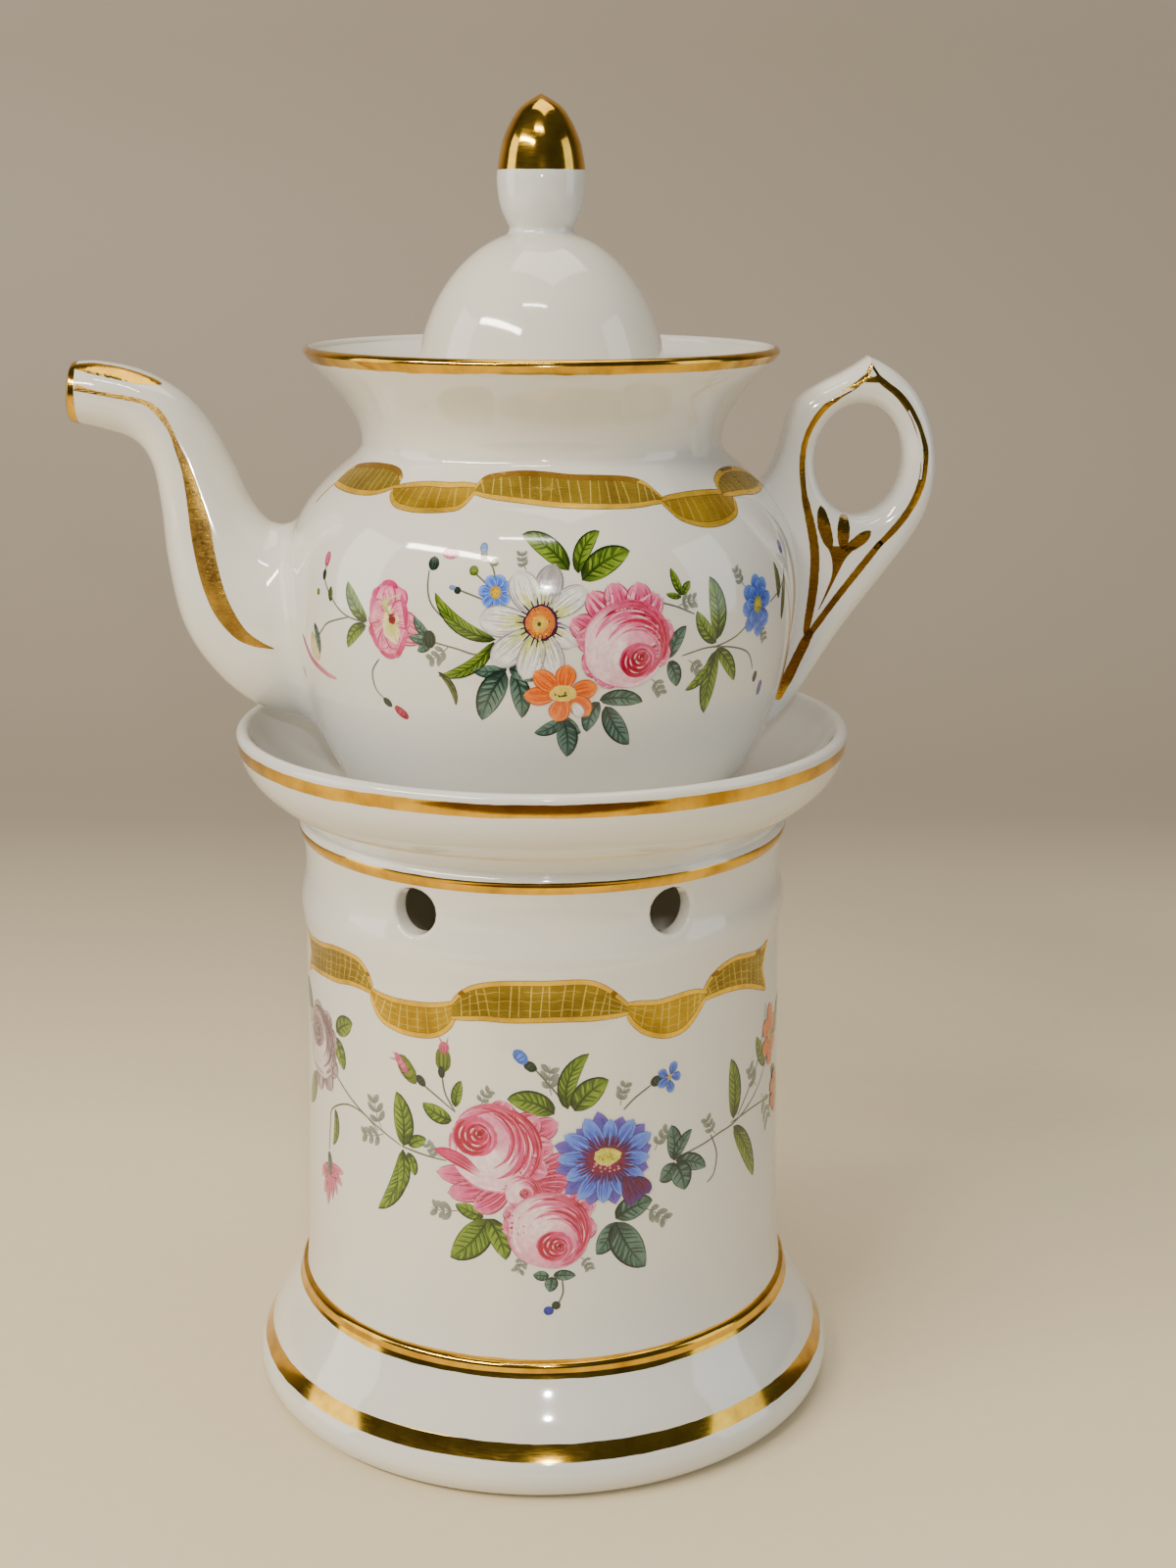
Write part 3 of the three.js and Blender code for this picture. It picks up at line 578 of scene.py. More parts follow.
def makeSpout():
    # gives the piece and, for the gilding, a strip of places round its mouth
    sides, fillet, rows, lipReach = spout["sides"], spout["fillet"], spout["rows"], spout["lip"]
    outer, inner = spoutRings(0), spoutRings(spout["wall"])
    angles = [2 * math.pi * k / sides for k in range(sides)]
    paths = []
    for angle in angles:
        path = along(outer, angle)
        last = next((i for i in range(20, len(path)) if outsidePot(path[i]) < 0), len(path) - 1)
        a, b = path[last - 1], path[last]
        da, db = outsidePot(a), outsidePot(b)
        paths.append(path[:last] + [a.lerp(b, min(max(da / (da - db), 0), 1))])
    centre = sum((path[-1] for path in paths), Vector()) / sides
    mouth = outer[0][0] - outer[1][0]
    mouth.normalize()
    verts, rim = [], []
    for angle, path in zip(angles, paths):
        crossing, run, points = path[-1], [0], []
        for p, q in zip(path, path[1:]):
            run.append(run[-1] + (q - p).length)
        for i in range(rows):
            want = (run[-1] - fillet) * i / (rows - 1)
            j = min(max(n for n in range(len(run)) if run[n] <= want + 1e-9), len(path) - 2)
            points.append(path[j].lerp(path[j + 1], (want - run[j]) / max(run[j + 1] - run[j], 1e-9)))
        # the fillet onto the pot
        outward, normal = crossing - centre, onPot(crossing, 1) - onPot(crossing)
        outward -= normal * outward.dot(normal)
        outward.normalize()
        start, corner, landing = points[-1], onPot(crossing), onPot(crossing + outward * fillet, -0.04)
        for t in (i / spout["filletSteps"] for i in range(1, spout["filletSteps"] + 1)):
            points.append(start * (1 - t) ** 2 + corner * (2 * t * (1 - t)) + landing * t * t)
        # the mouth's rounded lip and the bore, in front of the outside
        innerPath = along(inner, angle)
        points[0] = points[0] - mouth * lipReach
        innerPath[0] = innerPath[0] - mouth * lipReach
        middle, half = (points[0] + innerPath[0]) / 2, (points[0] - innerPath[0]) / 2
        lip = [middle - half * math.cos(a) + mouth * (lipReach * math.sin(a))
               for a in (math.pi * i / 8 for i in range(1, 8))]
        bore = [p for p in innerPath[::4] if outsidePot(p) > -2.6 or p.x < -60]
        last = len(bore) - 1
        bore = [bore[min(round(i * last / spout["boreSteps"]), last)] for i in range(spout["boreSteps"] + 1)]
        verts += [p * mm for p in bore[::-1] + lip + points]
        strip = lip[3:] + points[:2] + [points[1].lerp(points[2], spout["giltEdge"])]
        for i, p in enumerate(strip):
            out = (p - outer[0][0]).normalized() + mouth * (0.8 if i < 4 else 0)
            rim.append((p + out * spout["giltLift"]) * mm)
    faces = gridFaces(sides, len(verts) // sides, ring=True, closed=True)
    obj = newObject("pot_spout_glazed", verts, faces, 60)
    finished(obj, "pot", ["pot_spout"], spoutWhite)
    return obj, rim


# corners of the outline's sweeps, as shares inward and up, from the shoulder over the top to the belly
handle = {"out": 24.4, "drop": 1.8, "width": 31.9, "half": 5.0, "round": 3.1, "roundSteps": 16,
          "holeWidth": 16.0, "holeHeight": 20.0, "holeAt": (0.439, 0.725), "sweeps": [
              (1.16, 0.62), (1.1, 0.635), (1.04, 0.648), (1, 0.661), (0.828, 0.749), (0.911, 0.87),
              (0.72, 0.914), (0.618, 0.941), (0.516, 0.959), (0.401, 1), (0.274, 0.977), (0.134, 0.929),
              (0.07, 0.853), (-0.019, 0.756), (-0.025, 0.638), (0.096, 0.542), (0.236, 0.433),
              (0.433, 0.333), (0.599, 0.204), (0.701, 0.127), (0.783, 0.051), (0.901, 0), (0.96, -0.02),
              (1.0, -0.035), (1.06, -0.05)]}


def handlePlace(inward, up):
    height = levels["potSeat"] + pot["rimHeight"] - handle["drop"] - rootHeight
    return (pot["radius"] + handle["out"] - inward * handle["width"], rootHeight + up * height)


def makeHandle():
    places = [handlePlace(*corner) for corner in handle["sweeps"]]
    points = joined(*[bend(14, *places[i:i + 4]) for i in range(0, len(places) - 1, 3)])
    inside = pot["radius"] * 0.62
    outline = joined([(inside, points[0][1])], points, [(inside, points[-1][1])])
    hole = arc(55, handlePlace(*handle["holeAt"]), (handle["holeWidth"] / 2, handle["holeHeight"] / 2),
               0, 353.5)
    rounded, steps = handle["round"], handle["roundSteps"]
    verts, faces, flats = [], [], {1: [], -1: []}
    for loop in (outline, hole):
        start, count = len(verts), len(loop)
        for i in range(steps + 1):
            a = math.pi * i / steps
            side = math.cos(a)
            y = 0 if 2 * i == steps else side * rounded + math.copysign(handle["half"] - rounded, side)
            moved = shifted(loop, rounded * (math.sin(a) - 1), loop=True)
            verts += [(x * mm, y * mm, z * mm) for x, z in moved]
        faces += gridFaces(steps + 1, count, start, ring=True)
        flats[1].append(range(start, start + count))
        flats[-1].append(range(start + steps * count, len(verts)))
    mesh = plainMesh("handle", verts, faces)
    bm = bmesh.new()
    bm.from_mesh(mesh)
    bm.verts.ensure_lookup_table()
    for side, rings in flats.items():
        pairs = [(bm.verts[a], bm.verts[b]) for ring in rings for a, b in zip(ring, [*ring[1:], ring[0]])]
        edges = [bm.edges.get(pair) or bm.edges.new(pair) for pair in pairs]
        bmesh.ops.triangle_fill(bm, edges=edges, use_beauty=True, normal=(0, side, 0))
    bmesh.ops.recalc_face_normals(bm, faces=bm.faces)
    bm.to_mesh(mesh)
    bm.free()
    keepCreases(mesh, 60)
    obj = placed("pot_handle_glazed", mesh)
    solidPot = joined([(0, 1)], shifted(potOutline(), 0.6), [(0, pot["rimHeight"] - 1)])
    cutBy(obj, turned("handleTrimmer", lifted(solidPot, levels["potSeat"])))
    finished(obj, "pot", ["pot_handle"], spoutWhite)
    return obj


# Lid

lid = {"bore": 29.3, "brim": 31.3, "brimThick": 2.6, "flangeDepth": 9.0, "flangeThick": 2.6,
       "dome": 22.4, "domeHeight": 28.0, "domeFoot": 2.0, "domeWall": 3.0, "waist": 5.7}
knob = {"radius": 7.8, "height": 23.5}
knobSeat = lid["domeFoot"] + lid["domeHeight"] * math.sqrt(1 - (lid["waist"] / lid["dome"]) ** 2)


def makeLid():
    brim, thick, dome, depth, waist = (lid["brim"], lid["brimThick"], lid["dome"], lid["flangeDepth"],
                                       lid["waist"])
    domeHeight, domeFoot, domeWall = lid["domeHeight"], lid["domeFoot"], lid["domeWall"]
    flange = lid["bore"] - 0.4
    flangeInner = flange - lid["flangeThick"]
    outline = joined(
        [(flangeInner + 0.4, -depth), (flange - 0.4, -depth), (flange, 0.4 - depth), (flange, 0),
         (brim - 0.4, 0), (brim, 0.4), (brim, thick - 0.7), (brim - 0.7, thick)],
        bend(8, (brim - 0.7, thick), (dome + 3, thick + 0.2), (dome + 0.9, thick + 0.6),
             (dome * 0.9945, domeFoot + 2.92)),
        arc(40, (0, domeFoot), (dome, domeHeight), 6, math.degrees(math.acos((waist + 0.9) / dome))),
        [(waist + 0.15, knobSeat - 0.05), (0, knobSeat - 0.05)],
        arc(20, (0, domeFoot), (dome - domeWall, domeHeight - domeWall), 90, 8),
        [(flangeInner, -2), (flangeInner, 0.4 - depth), (flangeInner + 0.4, -depth)])
    obj = turned("lid_cap_glazed", lifted(outline, levels["lidSeat"]))
    finished(obj, "lid", ["lid_cap"], lidWhiteWarmReflection)


def makeKnob():
    r, h, waist = knob["radius"], knob["height"], lid["waist"]
    outline = joined(
        [(0, -0.2), (waist + 0.5, -0.2), (waist + 0.12, 0.25), (waist, 1)],
        through(70, (waist, 1), (r - 0.6, 4.3), (r, 8.2), (r - 0.1, 11), (r - 1.2, h - 7.3),
                (r - 4, h - 2.4), (0, h)))
    obj = turned("lid_knob_glazed", lifted(outline, levels["lidSeat"] + knobSeat), 96)
    finished(obj, "lid", ["lid_knob"], knobWhite)


print("porcelain pieces")
makeFoot()
makeWall()
makeCollar()
makePotBody()
spoutObject, spoutRim = makeSpout()
handleObject = makeHandle()
makeLid()
makeKnob()


# Burner, seen through the doorway

def brassMaterial():
    material, tree, shader, place = newMaterial("tubeBrass")
    surface = addNode(tree, "Group", {"Place": place, "Bright": (0.62, 0.42, 0.15),
                                      "Dull": (0.33, 0.21, 0.09)}, node_tree=giltGroup)
    fill(tree, shader, {"Base Color": surface["Color"], "Metallic": 1,
                        "Roughness": mathNode(tree, "ADD", surface["Roughness"], 0.18)})
    bumped(tree, shader, surface["Height"], 0.4, 0.00005)
    return material


def cottonMaterial():
    # cream cotton, charred from 60.4 mm above the table
    material, tree, shader, place = newMaterial("wickCotton")
    fibre = noiseNode(tree, place, 2200, 4, 0.7)
    height = addNode(tree, "SeparateXYZ", {0: place})["Z"]
    char = addNode(tree, "MapRange", {"Value": height, "From Min": 60.4 * mm, "From Max": 62.2 * mm})
    cream = mixColour(tree, fibre, (0.80, 0.74, 0.60), (0.58, 0.51, 0.38))
    fill(tree, shader, {"Base Color": mixColour(tree, char[0], cream, (0.03, 0.025, 0.02)), "Roughness": 0.95,
                        "Sheen Weight": 0.3})
    bumped(tree, shader, fibre, 1, 0.0002)
    return material


def biscuitMaterial():
    # the floor's bare clay, with grog specks and a little soot
    material, tree, shader, place = newMaterial("floorBiscuit")
    grain = noiseNode(tree, place, 1500, 5, 0.65)
    base = mixColour(tree, noiseNode(tree, place, 40, 3), (0.70, 0.66, 0.57), (0.55, 0.50, 0.42))
    soot = mathNode(tree, "MULTIPLY", grain, 0.5)
    fill(tree, shader, {"Base Color": mixColour(tree, soot, base, (0.42, 0.38, 0.31)),
                        "Roughness": mathNode(tree, "MULTIPLY_ADD", grain, 0.2, 0.62)})
    bumped(tree, shader, grain, 0.6, 0.00015)
    return material


burner = {"radius": 20.0, "height": 27.0, "wall": 2.6, "coverThick": 2.6, "coverLip": 4.0,
          "ring": 7.0, "ringThick": 1.9, "ringArc": 280, "ringRows": 48, "ringSides": 20, "tube": 3.2,
          "bore": 2.2, "tubeRise": 7.0, "tubeDrop": 9.0, "tubeCollar": 2.4, "tubeCollarHeight": 1.2}
wick = {"rise": 3.0, "depth": 20.0, "rows": 90, "sides": 30, "strands": 3, "twist": 5.2, "frayed": 0.97}


def cupOutline():
    r, h = burner["radius"], burner["height"]
    return through(28, (r - 5, 1.6), (r - 3.2, 4), (r - 1.4, 10), (r - 0.4, h - 6), (r, h - 0.6))


def rodFaces(rows, sides):
    return gridFaces(rows, sides, ring=True) + [
        tuple(range(sides)), tuple(range((rows - 1) * sides, rows * sides))]


def makeBurner():
    r, h, thick, floor = burner["radius"], burner["height"], burner["wall"], levels["floorTop"]
    outline = joined(
        [(0, 1), (r - 8, 1), (r - 7.6, 0), (r - 5.4, 0), (r - 5, 0.5)], cupOutline(),
        [(r - 0.5, h), (r - thick, h)],
        [p for p in reversed(shifted(cupOutline(), thick)) if thick + 2 < p[1] < h - 2],
        [(r - 8, thick + 1), (0, thick + 1)])
    cup = turned("burner_cup_glazed", lifted(outline, floor), 96)
    finished(cup, "burner", ["burner_cup"], burnerWhite)

    verts, rows, sides, reach = [], burner["ringRows"], burner["ringSides"], burner["ring"]
    for i in range(rows + 1):
        a = math.radians(-burner["ringArc"] / 2 + burner["ringArc"] * i / rows)
        for k in range(sides):
            b = 2 * math.pi * k / sides
            out = reach + burner["ringThick"] * 0.99 * math.cos(b)
            verts.append((burner["ringThick"] * math.sin(b) * mm, (r + reach * 0.6 + out * math.cos(a)) * mm,
                          (floor + h * 0.55 + out * math.sin(a)) * mm))
    ring = newObject("burner_handle_glazed", verts, rodFaces(rows + 1, sides))
    solidCup = joined([(0, 0), (r - 5, 0)], cupOutline(), [(r, h), (0, h)])
    cutBy(ring, turned("cupTrimmer", lifted(solidCup, floor), 96))
    finished(ring, "burner", ["burner_handle"], burnerWhite)

    top, lip, hole = floor + h, r - thick - 0.4, burner["tube"] + 0.4
    deep, thick = burner["coverLip"], burner["coverThick"]
    outline = joined(
        [(hole, -deep), (lip, -deep), (lip, 0), (r - 0.3, 0), (r, 0.4), (r, thick * 0.5)],
        bend(8, (r, thick * 0.5), (r, thick), (r - 2, thick), (r - 4, thick)),
        [(hole + 0.5, thick), (hole, thick - 0.5)])
    cover = turned("burner_cover_glazed", lifted(outline, top), 96)
    finished(cover, "burner_top", ["burner_cover"], burnerWhite)

    seat, tube, bore, deep, rise = (top + thick, burner["tube"], burner["bore"], burner["tubeDrop"],
                                    burner["tubeRise"])
    wide, collarTop = tube + burner["tubeCollar"], burner["tubeCollarHeight"]
    outline = [(bore, -deep), (tube, -deep), (tube, 0), (wide - 0.3, 0), (wide, 0.3), (wide, collarTop - 0.3),
               (wide - 0.3, collarTop), (tube + 0.2, collarTop), (tube, 1.6), (tube, rise - 0.3),
               (tube - 0.3, rise), (bore, rise)]
    brass = turned("wick_tube_brass", lifted(outline, seat), 64)
    finished(brass, "burner_top", ["wick_tube"], brassMaterial())

    # strands plaited into the cord, and a charred frayed end
    verts, reach, sides, bottom = [], bore - 0.2, wick["sides"], seat - wick["depth"]
    for share in (i / wick["rows"] for i in range(wick["rows"] + 1)):
        z = bottom + (seat + rise + wick["rise"] - bottom) * share
        for a in (2 * math.pi * k / sides for k in range(sides)):
            turn = wick["twist"] * share * math.pi
            plait = (0.10 * math.cos(wick["strands"] * (a - turn))
                     + 0.05 * math.cos(wick["strands"] * (a + turn)))
            narrowing = 1 - max(share - wick["frayed"], 0) * 12
            verts.append(onCircle(reach * (0.85 + plait) * narrowing, a, z))
    cord = newObject("wick_plaited", verts, rodFaces(wick["rows"] + 1, sides), 60)
    finished(cord, "wick_cord", ["wick"], cottonMaterial())


def makeFloorDisc():
    r, top, low = wall["inner"] - 0.3, levels["floorTop"], levels["floorTop"] - foot["floor"]
    outline = [(0, low), (r - 0.4, low), (r, low + 0.4), (r, top - 0.4), (r - 0.4, top), (0, top)]
    disk = turned("stand_floor_bare", outline)
    finished(disk, "stand", ["stand_floor"], biscuitMaterial())


print("burner")
makeBurner()
makeFloorDisc()

# Painted flowers and gilt ribbons. Strokes are drawn flat, in mm across and up, on a sheet that is
# then wrapped round the pot or the wall as thin enamel.

brush = random.Random(41)
leafHues = {
    "fresh": {"light": (0.34, 0.44, 0.08), "body": (0.155, 0.245, 0.04), "deep": (0.045, 0.080, 0.014)},
    "deep": {"light": (0.24, 0.34, 0.29), "body": (0.095, 0.19, 0.155), "deep": (0.018, 0.052, 0.042)},
    "olive": {"light": (0.26, 0.29, 0.09), "body": (0.13, 0.16, 0.045), "deep": (0.04, 0.055, 0.016)},
    "grey": {"light": (0.40, 0.42, 0.37), "body": (0.27, 0.295, 0.25), "deep": (0.20, 0.22, 0.19)}}
budHues = {
    "pink": ((0.74, 0.30, 0.42), (0.46, 0.07, 0.16)), "crimson": ((0.62, 0.13, 0.20), (0.30, 0.02, 0.05)),
    "freshBud": ((0.34, 0.40, 0.08), (0.10, 0.14, 0.03)), "deepBud": ((0.09, 0.15, 0.10), (0.02, 0.04, 0.03)),
    "paleBlue": ((0.40, 0.50, 0.70), (0.16, 0.24, 0.46)), "blue": ((0.26, 0.40, 0.80), (0.09, 0.16, 0.50)),
    "blueDark": ((0.10, 0.16, 0.60), (0.02, 0.03, 0.22)), "violet": ((0.30, 0.28, 0.58), (0.12, 0.10, 0.32))}
roseHues = {"pale": (0.90, 0.75, 0.77), "blush": (0.80, 0.37, 0.50), "body": (0.70, 0.155, 0.32),
            "deep": (0.57, 0.045, 0.14), "crimson": (0.36, 0.012, 0.05)}
mauveRose = {"pale": (0.80, 0.73, 0.70), "blush": (0.58, 0.47, 0.49), "body": (0.36, 0.25, 0.29),
             "deep": (0.21, 0.11, 0.15), "crimson": (0.11, 0.045, 0.075)}
stemGrey = (0.20, 0.215, 0.165)


def mixed(first, second, amount):
    return between(first, second, min(max(amount, 0), 1))


def wobble(size):
    return brush.uniform(-size, size)


def uneven(colour, amount):
    level = 1 + wobble(amount)
    return tuple(c * level for c in colour)


def newSheet():
    return {"points": [], "faces": [], "paint": [], "layers": 0}


def lay(sheet, rows, ring=False, room=8):
    # rows of (across, up, colour); later paint lies on top, with room left over a broad patch
    sheet["layers"] += 1
    sheet["faces"] += gridFaces(len(rows), len(rows[0]), len(sheet["points"]), ring)
    for across, up, colour in (spot for row in rows for spot in row):
        sheet["points"].append((across, up, sheet["layers"]))
        sheet["paint"].append(colour)
    sheet["layers"] += room


def bowed(base, tip, bow, count=12):
    middle = pushed(between(base, tip, 0.5), leftOf([base, tip], 0), bow * 2)
    return [between(between(base, middle, i / count), between(middle, tip, i / count), i / count)
            for i in range(count + 1)]


def bladeOn(spine, half):
    # a place on a leaf or petal: how far along it, and how far across from -1 to 1
    def at(s, t):
        s = min(max(s, 0), 1)
        k = min(int(s * (len(spine) - 1)), len(spine) - 2)
        point = between(spine[k], spine[k + 1], s * (len(spine) - 1) - k)
        return pushed(point, leftOf(spine[k:k + 2], 0), half(s) * t)
    return at


def covered(at, steps, toneAt):
    # a leaf or petal from its root to its tip, seven places across
    return [[(*at(i / steps, k / 3), toneAt(i / steps, k / 3)) for k in range(-3, 4)]
            for i in range(steps + 1)]


def stroke(sheet, points, width, colour, endColour=None, fullness=0.5):
    # one pull of the brush; fullness near 0 keeps its width up to the ends
    dense = []
    for a, b in zip(points, points[1:]):
        cuts = max(1, math.ceil(math.dist(a, b) / 0.55))
        dense += [between(a, b, j / cuts) for j in range(cuts)]
    dense.append(points[-1])
    rows = []
    for i, point in enumerate(dense):
        s, left = i / (len(dense) - 1), leftOf(dense, i)
        half = width / 2 * max(4 * s * (1 - s), 0.004) ** fullness
        tone = uneven(mixed(colour, endColour or colour, s), 0.05)
        rows.append([(*pushed(point, left, side * half), tone) for side in (-1, 1)])
    lay(sheet, rows, room=0)


def sweep(centre, radius, start, turn, count=12, drift=0.0):
    # places round a centre, drifting in or out
    return [onOval(centre, (radius, radius), math.radians(start + turn * i / count), 1 + drift * i / count)
            for i in range(count + 1)]


def swung(centre, x, y, turn):
    c, s = math.cos(math.radians(turn)), math.sin(math.radians(turn))
    return (centre[0] + x * c - y * s, centre[1] + x * s + y * c)


def disc(sheet, centre, size, turn, inner, outer, ripple, rings=3, sectors=20):
    # an oval patch, size is its two half axes
    edge = [wobble(ripple) for _ in range(sectors)]
    rows = []
    for out in (i / rings for i in range(rings + 1)):
        row = []
        for k in range(sectors):
            spot = onOval((0, 0), size, 2 * math.pi * k / sectors, max(out, 0.02) * (1 + edge[k] * out))
            row.append((*swung(centre, *spot, turn), uneven(mixed(inner, outer, out ** 1.3), 0.05)))
        rows.append(row)
    lay(sheet, rows, True)


def leaf(sheet, base, tip, width, bow, kind):
    light, body, deep = (leafHues[kind][k] for k in ("light", "body", "deep"))
    at = bladeOn(bowed(base, tip, bow), lambda s: width / 2 * 2.53 * s ** 0.6 * (1 - s) ** 0.75)
    shadeSide = 1 if bow > 0 else -1

    def toneAt(s, t):
        shade = 0.45 + 0.6 * t * shadeSide + wobble(0.16)
        darker = max(0, 0.42 - s) * 1.9 + max(0, s - 0.88) * 4 + max(0, shade - 0.66) * 1.3
        return mixed(mixed(light, body, shade), deep, darker)

    lay(sheet, covered(at, 14, toneAt))
    veins = max(2, round(math.dist(base, tip) / 1.9))
    fine = min(0.26, 0.07 + width * 0.045)
    for i in range(veins):
        s = 0.12 + 0.62 * (i + wobble(0.2)) / veins
        for side in (-1, 1):
            gleam = [at(s + ahead, across * side)
                     for ahead, across in ((0.10, 0.15), (0.17, 0.5), (0.23, 0.86))]
            stroke(sheet, gleam, fine * 1.6, mixed(light, body, brush.random() * 0.5))
            vein = [at(s + 0.06 * j, across * side) for j, across in enumerate((0, 0.32, 0.62, 0.88))]
            stroke(sheet, vein, fine, deep, body, 0.4)
    stroke(sheet, [at(j / 10, 0) for j in range(10)], fine * 1.7, deep, body, 0.3)
    stroke(sheet, [at(0.12 + j * 0.088, 0.95 * shadeSide) for j in range(11)], fine * 1.3, deep)
    stroke(sheet, [at(0.3 + j * 0.07, -0.95 * shadeSide) for j in range(9)], fine * 0.8, body, deep)


def petal(sheet, base, tip, width, bow, hue, lines, point=0.6):
    # hue gives the colours at the root, over the body and at the edge, and of the drawn lines
    root, body, edge, line = hue
    at = bladeOn(bowed(base, tip, bow, 10), lambda s: width / 2 * 1.49 * s ** 0.55 * (1 - s ** 3) ** point)
    lay(sheet, covered(at, 10, lambda s, t: uneven(mixed(
        mixed(root, body, s / 0.4), edge, max(0, s - 0.62) * 2.2 + max(0, abs(t) - 0.6) * 1.6), 0.06)))
    fine = min(0.3, 0.05 + width * 0.045)
    for i in range(lines):
        t = -0.8 + 1.6 * (i + wobble(0.3)) / max(lines - 1, 1)
        low, high = brush.uniform(0.04, 0.3), brush.uniform(0.6, 0.95)
        tone = line if i % 3 else edge
        stroke(sheet, [at(low + (high - low) * j / 5, t) for j in range(6)], fine,
               mixed(body, tone, brush.uniform(0.5, 1)), mixed(body, tone, 0.4))
    for side in (-1, 1):
        rim = [at(0.15 + j * 0.08, 0.97 * side) for j in range(11)]
        stroke(sheet, rim, fine, line, mixed(line, edge, 0.4))


def sprig(sheet, base, tip):
    light, body, length = leafHues["grey"]["light"], leafHues["grey"]["body"], math.dist(base, tip)
    spine = bowed(base, tip, 0.3, 8)
    stroke(sheet, spine, 0.22, body, light, 0.2)
    at = bladeOn(spine, lambda s: length * 0.3)
    for s in (0.25, 0.5, 0.75):
        for side in (-1, 1):
            end = (s + brush.uniform(0.2, 0.36), side * brush.uniform(0.7, 1.1))
            stroke(sheet, [at(s, 0), at((s + end[0]) / 2, end[1] * 0.6), at(*end)], min(1.15, length * 0.2),
                   body, light, 0.75)


def bud(sheet, centre, size, turn, kind):
    light, deep = budHues[kind]
    disc(sheet, centre, size, turn, light, mixed(light, deep, 0.7), 0.04, 3, 16)
    for k in (-0.5, 0.1, 0.6):
        line = [swung(centre, size[0] * k * math.cos(a), size[1] * math.sin(a), turn)
                for a in (-1.2, -0.5, 0.2, 0.9)]
        stroke(sheet, line, min(size) * 0.3, deep, mixed(light, deep, 0.5))


def fan(sheet, centre, places, width, hue, lines=7, root=0.15, bow=0.3, point=0.6):
    # petals from near the centre out to each place
    for tip in places:
        petal(sheet, between(centre, tip, root), tip, width, wobble(bow), hue, lines, point)


def roundPlaces(centre, size, count, start, spread=0.06):
    return [onOval(centre, size, math.radians(start + 360 * i / count), 1 + wobble(spread))
            for i in range(count)]


